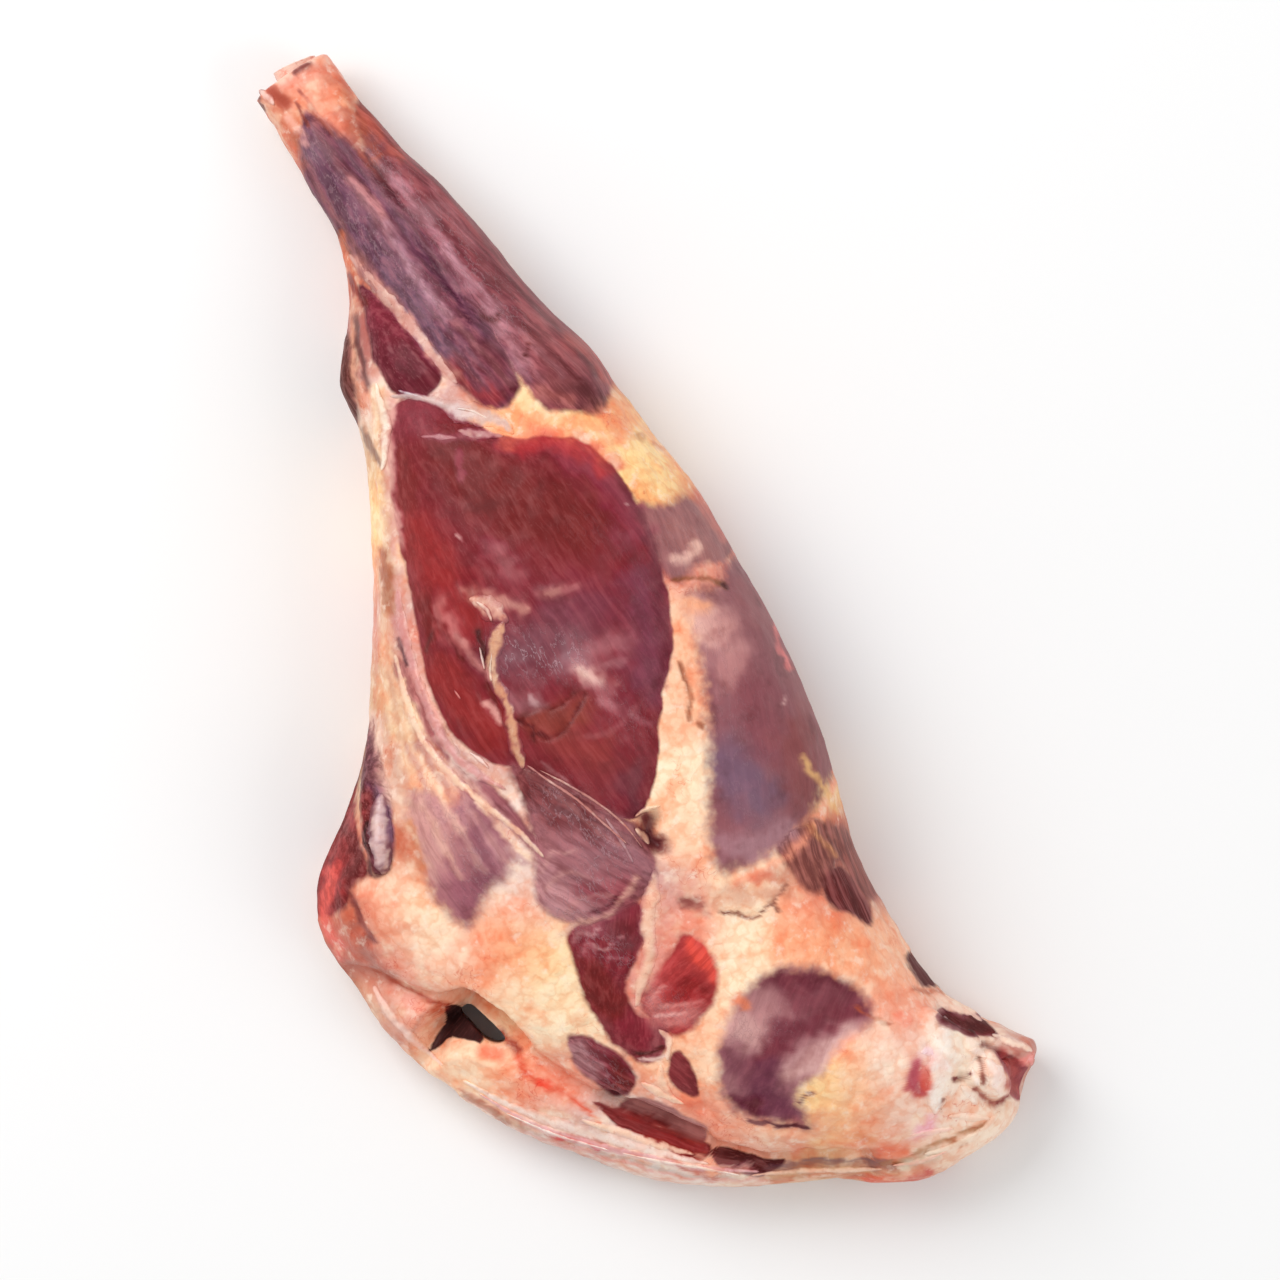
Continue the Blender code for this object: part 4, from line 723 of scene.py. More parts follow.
def paint(colour, x, y, marks):
    """Lays marks over a colour: each fades away from its line, wavers, frays and breaks up as tissue does.

    A broad patch fades as a power of its distance and a narrow mark as its cube, as shares of the half width.
    """
    spot = np.stack([x, y, np.zeros_like(x)], axis=-1)
    wide_x, wide_y = strayed(spot, 3.2, 6.5, 55)
    thin_x, thin_y = strayed(spot, 0.9, 4.0, 65)
    ragged = noise(spot, 2.6, 51) + 0.6 * noise(spot, 1.2, 52)
    broken = 1 - 0.5 * np.clip(noise(spot, 7.0, 53) + 0.4 * noise(spot, 2.4, 54), 0, 1)
    for *_, tone, strength, half_width, line in marks:
        wide = half_width >= BROAD_PATCH
        reach = 2.6 * half_width
        mark_x, mark_y = (wide_x, wide_y) if wide else (thin_x, thin_y)
        away = distance_to_path(mark_x, mark_y, rounded_path(line, closed=False), reach)
        away = np.where(away < reach, away + min(0.3 * half_width, 0.7) * ragged, away)
        share = (strength * np.exp(-0.9 * (np.maximum(away, 0) / half_width) ** 2.6) if wide
                 else strength * broken * np.exp(-(np.maximum(away, 0) / half_width) ** 3))
        share = np.where(away < 2.5 * half_width, share, 0.0)[..., None]
        colour = blended(colour, np.array(tone) / 255.0, share)
    return colour


def strayed(points, reach, size, seed):
    """Plan points moved a little by noise, so that outlines and marks waver as grown tissue does."""
    def stray(first):
        return reach * noise(points, size, first) + 0.4 * reach * noise(points, size * 0.4, first + 1)

    return points[..., 0] + stray(seed), points[..., 1] + stray(seed + 2)


def wavered(points):
    """The wavering that shape and colours share, so that they keep together."""
    return strayed(points, 0.8, 7.0, 11)


def lean_depths(x, y, muscles):
    """Each muscle's depth inside its outline, as rows."""
    return np.stack([depth_inside(x, y, outline) for *_, outline in muscles])


def outward(rings):
    """Unit normals of a grid of rings, pointing out of the leg."""
    along = np.gradient(rings, axis=0)
    around = (np.roll(rings, -1, axis=1) - np.roll(rings, 1, axis=1)) / 2
    normal = np.cross(along, around)
    return normal / np.maximum(np.linalg.norm(normal, axis=2, keepdims=True), 1e-9)


def end_rings(ring, knots, direction, count):
    """Rings that close an end: the last ring drawn in to its middle by steps, and pushed along the leg."""
    size = 1 - (1 - np.arange(count) / count) ** 1.7
    push = smooth_through([k for k, _ in knots], [v for _, v in knots], size)
    middle = ring.mean(axis=0)
    out = np.array([0.0, direction, 0.0])
    return middle + (ring - middle)[None] * size[:, None, None] + out * push[:, None, None]


# How far the hock's and the tail's ends bulge, by share of the radius, and how far the skin lies out.
CUT_END = ((0.0, 1.6), (0.45, 1.6), (0.8, 1.4), (0.94, 0.8), (1.0, 0.0))
TAIL_END = ((0.0, 1.2), (0.5, 1.0), (0.85, 0.5), (1.0, 0.0))
CUT_END_RINGS = 12
TAIL_END_RINGS = 8
SKIN_OUT = 0.35


def shaped_rings():
    """The leg's rings moved along their normals by muscles, fat, seams, sinews and the grain of the fat."""
    rings = leg_rings()
    normal = outward(rings)
    up = normal[..., 2]
    x, y = wavered(rings)
    depths = lean_depths(x, y, MUSCLES)
    rise = np.zeros(x.shape)
    for depth, (height, edge, *_) in zip(depths, MUSCLES):
        rise += pillow(depth, height, edge)
    for height, edge, outline in BARE_FAT:
        rise += pillow(depth_inside(x, y, outline), height, edge)
    for depth, half_width, line in CREASES:
        rise += groove(x, y, depth, half_width, line)
    for height, _, _, half_width, line in TOP_MARKS:
        if height:
            rise += groove(x, y, height, half_width, line)
    soft = np.array([m[2] for m in MUSCLES])[:, None, None]
    fat = np.clip(0.5 - (depths / soft).max(axis=0), 0, 1)
    waver = 0.35 * noise(rings, 8.0, 21) + 0.16 * noise(rings, 3.6, 22)
    lumps = fat * (0.75 * lobes(rings, 7.5, 31) + 0.3 * lobes(rings, 3.6, 41))
    under = sum(groove(x, y, depth, half_width, line) for depth, half_width, line in UNDER_SEAMS)
    facing = np.clip(up * 1.6 + 0.15, 0, 1)
    rise = rise * facing + under * np.clip(-up * 1.5, 0, 1) + waver + lumps * np.clip(up + 0.6, 0, 1)
    rings = rings + normal * (SKIN_OUT + rise)[..., None]
    rings[..., 2] = np.maximum(rings[..., 2], 0.0)
    hock = end_rings(rings[0], CUT_END, 1.0, CUT_END_RINGS)
    tail = end_rings(rings[-1], TAIL_END, -1.0, TAIL_END_RINGS)
    return np.concatenate([hock, rings, tail[::-1]])


def mesh_from_rings(name, *shells):
    """A closed mesh from shells of rings, where each shell's first and last ring have shrunk to a point."""
    points, faces, start = [], [], 0
    for rings in shells:
        count, around = rings.shape[:2]
        grid = start + np.arange((count - 2) * around).reshape(count - 2, around) + 1
        last = start + (count - 2) * around + 1
        points += [rings[:1, 0], rings[1:-1].reshape(-1, 3), rings[-1:, 0]]
        here, there = grid[:-1], grid[1:]
        quads = np.stack([here, there, np.roll(there, -1, 1), np.roll(here, -1, 1)], axis=2).reshape(-1, 4)
        first = np.stack([np.full(around, start), grid[0], np.roll(grid[0], -1)], axis=1)
        end = np.stack([np.full(around, last), np.roll(grid[-1], -1), grid[-1]], axis=1)
        faces += quads.tolist() + first.tolist() + end.tolist()
        start = last + 1
    mesh = bpy.data.meshes.new(name)
    mesh.from_pydata(np.concatenate(points) * MM, [], faces)
    mesh.update()
    return mesh


def face_outwards(mesh):
    """Turns every face of a closed mesh outwards."""
    work = bmesh.new()
    work.from_mesh(mesh)
    bmesh.ops.recalc_face_normals(work, faces=work.faces)
    work.to_mesh(mesh)
    work.free()


def add_piece(name, mesh, material=None):
    """An object for a mesh, smooth, with its finish, in the scene."""
    made = bpy.data.objects.new(name, mesh)
    bpy.context.scene.collection.objects.link(made)
    if material is not None:
        mesh.materials.append(material)
    mesh.shade_smooth()
    return made


def cut_away(piece, cutters):
    """Takes the cutters' space out of a piece, and makes that part of its mesh."""
    for cutter in cutters:
        taken = piece.modifiers.new(cutter.name, "BOOLEAN")
        taken.operation = "DIFFERENCE"
        taken.solver = "MANIFOLD"
        taken.object = cutter
    bpy.context.view_layer.update()
    mesh = bpy.data.meshes.new_from_object(piece.evaluated_get(bpy.context.evaluated_depsgraph_get()))
    piece.modifiers.clear()
    piece.data = mesh
    for cutter in cutters:
        bpy.data.objects.remove(cutter)


TEAR_OUTLINE = ((-88, -125), (-83, -124), (-79, -131), (-75, -142), (-78, -144), (-83, -140), (-86, -132))
TEAR_REACH = (-2.0, 90.0)


def tear_cutter():
    """A closed prism on the outline of the place where the flank is torn through."""
    line = rounded_path(TEAR_OUTLINE, closed=True, steps=8)[:-1]
    low, high = (np.column_stack([line, np.full(len(line), level)]) for level in TEAR_REACH)
    count = len(line)
    index = np.arange(count)
    sides = np.stack([index, np.roll(index, -1), np.roll(index, -1) + count, index + count], axis=1)
    mesh = bpy.data.meshes.new("tear")
    caps = [index[::-1].tolist(), (index + count).tolist()]
    mesh.from_pydata(np.concatenate([low, high]) * MM, [], sides.tolist() + caps)
    face_outwards(mesh)
    return add_piece("tear", mesh)


def step_up(value, low, high):
    """A smooth step from 0 at low to 1 at high."""
    t = np.clip((value - low) / (high - low), 0, 1)
    return t * t * (3 - 2 * t)


def points_and_normals(mesh):
    """A mesh's points in millimetres and their normals."""
    count = len(mesh.vertices)
    points, normals = np.empty(count * 3), np.empty(count * 3)
    mesh.vertices.foreach_get("co", points)
    mesh.vertices.foreach_get("normal", normals)
    return points.reshape(-1, 3) / MM, normals.reshape(-1, 3)


def put_attribute(mesh, name, kind, values):
    """Stores one value, vector or colour for each vertex."""
    layer = mesh.attributes.new(name, kind, "POINT")
    slot = {"FLOAT": "value", "FLOAT_VECTOR": "vector", "FLOAT_COLOR": "color"}[kind]
    layer.data.foreach_set(slot, np.ascontiguousarray(values, np.float32).ravel())


def with_alpha(colour, shine=0.0):
    """Linear colours, less the grey that the wet shine adds to them, with a fourth column of ones."""
    bare = np.maximum(srgb(np.clip(colour, 0, 1) * 255) - shine, 0.006)
    return np.concatenate([bare, np.ones((len(colour), 1))], axis=1)


BASE_FAT = (236, 180, 148)


def tissue_at(x, y):
    """For places on the upper side: depth in muscle as a share of its edge's softness, and both tones."""
    depths = lean_depths(x, y, MUSCLES)
    soft = np.array([m[2] for m in MUSCLES])[:, None]
    lean = np.clip(depths / soft, -3, 4).max(axis=0)
    share = np.exp(np.clip(depths, -25, 6) / 1.5)
    share /= share.sum(axis=0)
    lean_tone = paint(share.T @ (np.array([m[4] for m in MUSCLES]) / 255.0), x, y, LEAN_MARKS)
    weight = np.full(x.shape, 1e-4)
    fat_tone = np.full((len(x), 3), 1e-4) * (np.array(BASE_FAT) / 255.0)
    for tone, places in FAT_TONES:
        for px, py in places:
            near = np.exp(-((x - px) ** 2 + (y - py) ** 2) / (2 * FAT_REACH ** 2))
            weight += near
            fat_tone += near[:, None] * (np.array(tone) / 255.0)
    fat_tone /= weight[:, None]
    return depths, lean, paint(lean_tone, x, y, TOP_MARKS), paint(fat_tone, x, y, TOP_MARKS)


def under_tissue_at(x, y):
    """The same for the underside, where the fat keeps one tone."""
    depths = lean_depths(x, y, UNDER_MUSCLES)
    soft = np.array([m[0] for m in UNDER_MUSCLES])[:, None]
    lean = np.clip(depths / soft, -3, 4).max(axis=0)
    share = np.exp(np.clip(depths, -25, 6) / 2.0)
    share /= share.sum(axis=0)
    return lean, share.T @ (np.array([m[1] for m in UNDER_MUSCLES]) / 255.0)


# The pattern's wrap round the sides below a height, the tones of the inner side's fat, the way its fibres
# run, how far fibre patterns are drawn out, and the grey that the wet shine adds to the muscles.
SIDE_WRAP = 0.9
SIDE_HEIGHT = 21.0
INNER_CREAM, INNER_ROSE = (246, 208, 180), (238, 172, 142)
INNER_FIBRES = math.radians(102)
FIBRE_SQUEEZE = 0.07
WET_SHINE = 0.02


def colour_meat(mesh):
    """Stores, for each vertex, its depth in a muscle, its muscle and fat tones, its fibres, and its silver
    skin, whose pale is partly painted sheen.

    Down the sides, places are moved outwards by a share of the drop, so that the pattern wraps round them.
    """
    points, normals = points_and_normals(mesh)
    up = normals[:, 2]
    x, y = wavered(points)
    down = SIDE_WRAP * np.clip(SIDE_HEIGHT - points[:, 2], 0, None)
    x, y = x + down * normals[:, 0], y + down * normals[:, 1]
    below = step_up(-up, 0.25, 0.6)
    depths, lean, lean_tone, fat_tone = tissue_at(x, y)
    under_lean, under_tone = under_tissue_at(x, y)
    lean = blended(lean, under_lean, below)
    lean_tone = blended(lean_tone, under_tone, below[:, None])
    mottle = 0.5 + 0.5 * noise(points, 16.0, 61)[:, None]
    under_fat = blended(np.array(INNER_ROSE), np.array(INNER_CREAM), mottle) / 255.0
    fat_tone = blended(fat_tone, under_fat, below[:, None])

    turn = np.radians(np.array([m[5] for m in MUSCLES]))[depths.argmax(axis=0)]
    turn = np.where(below > 0.5, INNER_FIBRES, turn)
    along = (x * np.cos(turn) + y * np.sin(turn)) * FIBRE_SQUEEZE
    fibre = np.stack([along, y * np.cos(turn) - x * np.sin(turn), points[:, 2]], axis=1)

    # How much silver skin lies on each place; its pale is partly painted sheen.
    skin_and_sheen = np.zeros(len(points))
    for strength, half_width, line in SILVER_SKIN_AND_SHEEN:
        away = distance_to_path(x, y, rounded_path(line, closed=False), 2.5 * half_width)
        skin_and_sheen = np.maximum(skin_and_sheen, strength * np.exp(-((away / half_width) ** 2)))
    streaky = blended(np.array([m[3] for m in MUSCLES])[depths.argmax(axis=0)], 0.5, below)
    put_attribute(mesh, "lean", "FLOAT", lean)
    put_attribute(mesh, "streaky", "FLOAT", streaky)
    put_attribute(mesh, "lean_tone", "FLOAT_COLOR", with_alpha(lean_tone, WET_SHINE))
    put_attribute(mesh, "fat_tone", "FLOAT_COLOR", with_alpha(fat_tone))
    put_attribute(mesh, "fibre", "FLOAT_VECTOR", fibre)
    put_attribute(mesh, "silver_skin_and_sheen", "FLOAT", blended(skin_and_sheen, 0.4, below))


def node(tree, kind, inputs=(), **settings):
    """A shader node with its settings, whose inputs are set to values or joined to other nodes' outputs."""
    made = tree.nodes.new("ShaderNode" + kind)
    for key, value in settings.items():
        setattr(made, key, value)
    for name, value in dict(inputs).items():
        if isinstance(value, bpy.types.NodeSocket):
            tree.links.new(value, made.inputs[name])
        else:
            made.inputs[name].default_value = value
    return made


def maths(tree, operation, first, second=0.0):
    """A sum of two numbers, as a node."""
    return node(tree, "Math", {0: first, 1: second}, operation=operation).outputs[0]


def mixed(tree, share, first, second, kind="MIX"):
    """Two colours mixed, as a node."""
    return node(tree, "Mix", {0: share, 6: first, 7: second}, data_type="RGBA", blend_type=kind).outputs[2]


def tinted(tree, share, colour, tint):
    """A colour of which a share is multiplied by a tint, as nodes."""
    return mixed(tree, share, colour, mixed(tree, 1.0, colour, linear(*tint), "MULTIPLY"))


def plus(tree, base, value, weight):
    """A number with a weight of another added, as nodes."""
    return maths(tree, "ADD", base, maths(tree, "MULTIPLY", value, weight))


def smooth_step(tree, value, low, high, bottom=0.0, top=1.0):
    """A smooth step of a value from one level to another, as a node."""
    inputs = {"Value": value, "From Min": low, "From Max": high, "To Min": bottom, "To Max": top}
    return node(tree, "MapRange", inputs, interpolation_type="SMOOTHSTEP").outputs[0]


def cloud(tree, place, size, detail=3.0, roughness=0.55):
    """Noise of a size in millimetres, as a node."""
    return node(tree, "TexNoise", {"Vector": place, "Scale": 1 / size, "Detail": detail,
                                   "Roughness": roughness}).outputs[0]


def linear(*colour):
    """A colour of 0 to 255 for a node's socket."""
    return (*srgb(colour), 1.0)


def new_group(name, takes, gives):
    """An empty node group with named inputs and outputs."""
    kinds = {"colour": "NodeSocketColor", "value": "NodeSocketFloat", "vector": "NodeSocketVector"}
    group = bpy.data.node_groups.new(name, "ShaderNodeTree")
    for socket, kind in takes:
        group.interface.new_socket(socket, in_out="INPUT", socket_type=kinds[kind])
    for socket, kind in gives:
        group.interface.new_socket(socket, in_out="OUTPUT", socket_type=kinds[kind])
    return group, group.nodes.new("NodeGroupInput")


def close_group(group, results):
    """Joins the results to a group's outputs."""
    end = group.nodes.new("NodeGroupOutput")
    for name, socket in results.items():
        group.links.new(socket, end.inputs[name])
    return group


def fat_grain_group():
    """Fat: lobules a few millimetres wide in pale septa, clouded with rose and cream, with fine red veins."""
    group, given = new_group("fat grain", (("Tone", "colour"), ("Place", "vector")),
                             (("Colour", "colour"), ("Height", "value")))
    tone, place = given.outputs["Tone"], given.outputs["Place"]
    broad = cloud(group, place, 17.0, 3.0, 0.6)
    fine = cloud(group, place, 6.0, 3.0, 0.6)
    drift = node(group, "TexNoise", {"Vector": place, "Scale": 0.22, "Detail": 1.0}).outputs[1]
    bend = node(group, "VectorMath", {0: drift, "Scale": 5.0}, operation="SCALE").outputs[0]
    bent = node(group, "VectorMath", {0: place, 1: bend}, operation="ADD").outputs[0]
    lobule = node(group, "TexVoronoi", {"Vector": bent, "Scale": 0.23}).outputs[0]
    small = node(group, "TexVoronoi", {"Vector": bent, "Scale": 0.6}).outputs[0]
    colour = tinted(group, smooth_step(group, broad, 0.50, 0.68, 0.0, 0.75), tone, (250, 196, 172))
    colour = mixed(group, smooth_step(group, broad, 0.48, 0.32, 0.0, 0.40), colour, linear(255, 234, 204))
    colour = tinted(group, smooth_step(group, fine, 0.52, 0.75, 0.0, 0.6), colour, (248, 220, 204))
    colour = tinted(group, smooth_step(group, lobule, 0.45, 0.75, 0.0, 0.45), colour, (244, 208, 188))
    colour = mixed(group, smooth_step(group, fine, 0.46, 0.28, 0.0, 0.35), colour, linear(255, 240, 222))
    vein = maths(group, "ABSOLUTE", maths(group, "SUBTRACT", cloud(group, bent, 13.0, 3.0, 0.6), 0.5))
    vein = smooth_step(group, vein, 0.012, 0.0, 0.0, 1.0)
    rosy = smooth_step(group, cloud(group, place, 34.0, 1.0), 0.5, 0.66, 0.0, 0.5)
    vein = maths(group, "MULTIPLY", vein, rosy)
    colour = tinted(group, vein, colour, (220, 120, 104))
    light = node(group, "RGBToBW", {"Color": tone}).outputs[0]
    colour = mixed(group, smooth_step(group, light, 0.26, 0.10), colour, tone)
    height = maths(group, "MULTIPLY", lobule, -0.8)
    height = plus(group, height, small, -0.3)
    height = plus(group, height, fine, 0.7)
    return close_group(group, {"Colour": colour, "Height": height})


def muscle_grain_group():
    """Muscle: long fibres under a thin skin, in streaks of deeper and paler red, with pale threads."""
    group, given = new_group("muscle grain", (("Tone", "colour"), ("Fibre", "vector"), ("Place", "vector"),
                                             ("Streaks", "value")),
                             (("Colour", "colour"), ("Height", "value")))
    tone, fibre, place = (given.outputs[name] for name in ("Tone", "Fibre", "Place"))
    thread = cloud(group, fibre, 0.9, 2.0, 0.6)
    bundle = cloud(group, fibre, 3.2, 2.0, 0.55)
    blotch = cloud(group, place, 14.0, 3.0, 0.6)
    fine = cloud(group, place, 2.2, 2.0, 0.65)
    streaks = given.outputs["Streaks"]
    deep = mixed(group, 1.0, tone, linear(190, 150, 152), "MULTIPLY")
    light = mixed(group, 0.22, mixed(group, 1.0, tone, (1.25, 1.25, 1.25, 1.0), "MULTIPLY"),
                  linear(206, 128, 124))

    def streak(value, low, high, most):
        return maths(group, "MULTIPLY", smooth_step(group, value, low, high, 0.0, most), streaks)

    colour = mixed(group, streak(bundle, 0.42, 0.62, 0.95), tone, deep)
    colour = mixed(group, streak(bundle, 0.50, 0.30, 0.90), colour, light)
    colour = mixed(group, streak(thread, 0.52, 0.72, 0.65), colour, light)
    colour = mixed(group, streak(thread, 0.46, 0.28, 0.55), colour, deep)
    colour = mixed(group, smooth_step(group, blotch, 0.50, 0.72, 0.0, 0.55), colour, deep)
    colour = mixed(group, smooth_step(group, blotch, 0.46, 0.30, 0.0, 0.20), colour, light)
    colour = mixed(group, smooth_step(group, fine, 0.60, 0.78, 0.0, 0.18), colour, light)
    height = plus(group, maths(group, "MULTIPLY", thread, 0.4), bundle, 0.8)
    height = maths(group, "MULTIPLY", height, maths(group, "ADD", streaks, 0.1))
    height = plus(group, height, fine, 0.35)
    return close_group(group, {"Colour": colour, "Height": height})


def silver_skin_and_sheen_group():
    """Silver skin and painted sheen: a thin pale film that gathers in fine crossing wrinkles and thins out in
    clouds, and whose pale also stands for the haze of highlights on wet muscle.
    """
    group, given = new_group("silver skin", (("Amount", "value"), ("Place", "vector")),
                             (("Cover", "value"), ("Height", "value")))
    amount, place = given.outputs["Amount"], given.outputs["Place"]
    patch = cloud(group, place, 18.0, 3.0, 0.62)
    stretched = node(group, "Mapping", {"Vector": place, "Rotation": (0.0, 0.0, 0.6),
                                        "Scale": (1.0, 0.35, 1.0)}).outputs[0]
    wrinkle = maths(group, "ABSOLUTE", maths(group, "SUBTRACT", cloud(group, stretched, 3.4, 3.0, 0.6), 0.5))
    line = smooth_step(group, wrinkle, 0.035, 0.0)
    veil = smooth_step(group, patch, 0.44, 0.74, 0.0, 0.28)
    cover = maths(group, "ADD", veil, maths(group, "MULTIPLY", line, maths(group, "MULTIPLY", amount, 0.5)))
    cover = maths(group, "MULTIPLY", cover, amount)
    return close_group(group, {"Cover": cover, "Height": line})


def wet_finish_group():
    """The wet film on raw meat: patches a little drier or wetter, which changes how sharp its shine is."""
    group, given = new_group("wet film", (("Place", "vector"), ("Dull", "value")), (("Roughness", "value"),))
    place = given.outputs["Place"]
    spread = maths(group, "ADD", maths(group, "MULTIPLY", cloud(group, place, 9.0, 2.0, 0.65), 0.34), -0.17)
    return close_group(group, {"Roughness": maths(group, "ADD", spread, given.outputs["Dull"])})


fat_grain, muscle_grain = fat_grain_group(), muscle_grain_group()
silver_skin_and_sheen, wet_film = silver_skin_and_sheen_group(), wet_finish_group()


def place_in_mm(tree):
    """The point's place on the object in millimetres."""
    spot = node(tree, "TexCoord").outputs["Object"]
    return node(tree, "VectorMath", {0: spot, "Scale": 1 / MM}, operation="SCALE").outputs[0]


def use(tree, group, inputs):
    """A node group placed in a material."""
    made = tree.nodes.new("ShaderNodeGroup")
    made.node_tree = group
    for name, value in inputs.items():
        if isinstance(value, bpy.types.NodeSocket):
            tree.links.new(value, made.inputs[name])
        else:
            made.inputs[name].default_value = value
    return made.outputs


def new_finish(name, **constants):
    """A material with its Principled shader, on whose sockets the constants are set."""
    material = bpy.data.materials.new(name)
    material.use_nodes = True
    tree = material.node_tree
    shader = tree.nodes["Principled BSDF"]
    for socket, value in constants.items():
        shader.inputs[socket.replace("_", " ")].default_value = value
    return material, tree, shader


def join_finish(tree, shader, colour, roughness, height, strength, depth):
    """Joins a colour, a roughness and a bump of a height to a shader."""
    bump = node(tree, "Bump", {"Height": height, "Strength": strength, "Distance": depth})
    tree.links.new(colour, shader.inputs["Base Color"])
    tree.links.new(roughness, shader.inputs["Roughness"])
    tree.links.new(bump.outputs[0], shader.inputs["Normal"])


def meat_finish():
    """Raw mutton: fat and muscle by their own tones, parted at the muscle's edge, under silver skin whose pale
    is partly painted sheen.
    """
    material, tree, shader = new_finish("raw mutton", IOR=1.34, Coat_Weight=0.1, Coat_Roughness=0.2)
    place = place_in_mm(tree)
    read = {name: node(tree, "Attribute", attribute_name=name).outputs
            for name in ("lean", "lean_tone", "fat_tone", "fibre", "silver_skin_and_sheen", "streaky")}
    fat = use(tree, fat_grain, {"Tone": read["fat_tone"]["Color"], "Place": place})
    muscle = use(tree, muscle_grain, {"Tone": read["lean_tone"]["Color"], "Fibre": read["fibre"]["Vector"],
                                      "Place": place, "Streaks": read["streaky"]["Fac"]})
    ragged = maths(tree, "ADD", maths(tree, "MULTIPLY", cloud(tree, place, 4.2, 2.0, 0.5), 1.5), -0.75)
    edge = maths(tree, "ADD", read["lean"]["Fac"], ragged)
    lean = smooth_step(tree, edge, -1.0, 0.9)
    skin_and_sheen = use(tree, silver_skin_and_sheen, {"Amount": read["silver_skin_and_sheen"]["Fac"], "Place": place})
    covered = maths(tree, "MULTIPLY", skin_and_sheen["Cover"], lean)
    colour = mixed(tree, lean, fat["Colour"], muscle["Colour"])
    # The pale of the silver skin laid over the muscle is partly painted sheen.
    colour = mixed(tree, covered, colour, linear(190, 150, 158))
    light = node(tree, "RGBToBW", {"Color": colour}).outputs[0]
    dull = maths(tree, "ADD", smooth_step(tree, light, 0.06, 0.01, 0.46, 0.85),
                 maths(tree, "MULTIPLY", lean, 0.12))
    film = use(tree, wet_film, {"Place": place, "Dull": dull})
    height = maths(tree, "ADD", maths(tree, "MULTIPLY", fat["Height"], maths(tree, "SUBTRACT", 1.0, lean)),
                   maths(tree, "MULTIPLY", muscle["Height"], maths(tree, "MULTIPLY", lean, 0.7)))
    height = maths(tree, "ADD", height, maths(tree, "MULTIPLY", maths(tree, "MULTIPLY", skin_and_sheen["Height"], lean),
                                              maths(tree, "MULTIPLY", read["silver_skin_and_sheen"]["Fac"], 0.8)))
    join_finish(tree, shader, colour, film["Roughness"], height, 0.6, 0.0006)
    return material


meat = add_piece("meat_and_fat", mesh_from_rings("meat_and_fat", shaped_rings()))
face_outwards(meat.data)
cut_away(meat, [tear_cutter()])
colour_meat(meat.data)
meat.data.materials.clear()
meat.data.materials.append(meat_finish())
meat.data.shade_smooth()
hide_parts("leg_meat")
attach(meat, "root")


# The shin bone runs up inside the shank from the hock, where a saw has cut it square across. The cut
# shows a ring of hard ivory bone, a little chipped at its rim, round a core of red marrow that has
# shrunk back from the saw's face.
# Its stations as (x, y, z, radius), and its sawn face as (share of the radius, push along the leg).
SHIN_BONE = ((10.0, 269.5, 21.5, 10.0), (10.6, 262.0, 21.8, 10.0), (13.0, 246.0, 23.0, 8.2),
             (18.0, 215.0, 25.0, 7.0), (25.0, 175.0, 28.0, 7.4), (31.0, 138.0, 33.0, 9.5),
             (34.0, 112.0, 37.0, 15.0), (35.0, 98.0, 38.0, 17.0))
BONE_AROUND = 96
MARROW_EDGE = 0.50
SAWN_FACE = ((0.0, -1.3), (0.14, -1.2), (0.28, -1.0), (0.40, -1.1), (0.46, -1.5), (MARROW_EDGE, -0.5),
             (0.54, -0.1), (0.60, 0.0), (0.68, -0.05), (0.76, 0.0), (0.84, -0.05), (0.91, -0.1),
             (0.96, -0.4), (0.99, -1.0))
BONE_IVORY, BONE_RIM, MARROW, MARROW_FAT = (244, 220, 202), (236, 190, 172), (176, 62, 54), (236, 170, 140)


def bone_rings():
    """Rings of the bone and each one's share of the radius: out over the sawn face, then down the shaft.

    The shaft is swept along its stations, a little flattened into three sides: the radius is the
    station's, less a small cosine of three times the angle. Its head closes in a quarter circle.
    """
    angle = np.linspace(0, 2 * math.pi, BONE_AROUND, endpoint=False)
    stations = np.array(SHIN_BONE)
    knots = np.arange(len(stations))
    where = np.linspace(0, knots[-1], 150)[1:]
    shaft = smooth_through(knots, stations, where)
    close = np.linspace(0, math.pi / 2, 12)[1:]
    head = np.repeat(shaft[-1:], len(close), axis=0)
    head[:, 3] *= np.cos(close)
    head[:, 1] -= 8 * np.sin(close)
    face = np.repeat(stations[:1], len(SAWN_FACE), axis=0)
    face[:, 3] *= [share for share, _ in SAWN_FACE]
    face[:, 1] += [push for _, push in SAWN_FACE]
    line = np.concatenate([face, shaft, head])
    shape = 1 - 0.03 * (1 - np.cos(3 * angle + 0.6)) - 0.015 * (1 - np.cos(5 * angle))
    radius = line[:, 3:4] * shape[None, :]
    rings = np.stack([line[:, :1] + radius * np.cos(angle), np.repeat(line[:, 1:2], BONE_AROUND, axis=1),
                      line[:, 2:3] + radius * np.sin(angle)], axis=2)
    chips = 0.35 * noise(rings, 2.2, 81) + 0.2 * noise(rings, 0.9, 82)
    on_face = np.arange(len(line)) < len(face)
    rings[..., 1] += np.where(on_face[:, None] & (radius > 1), np.minimum(chips, 0.1), 0)
    share = np.where(on_face, line[:, 3] / stations[0, 3], 1.5)
    return rings, np.repeat(share[:, None], BONE_AROUND, axis=1)


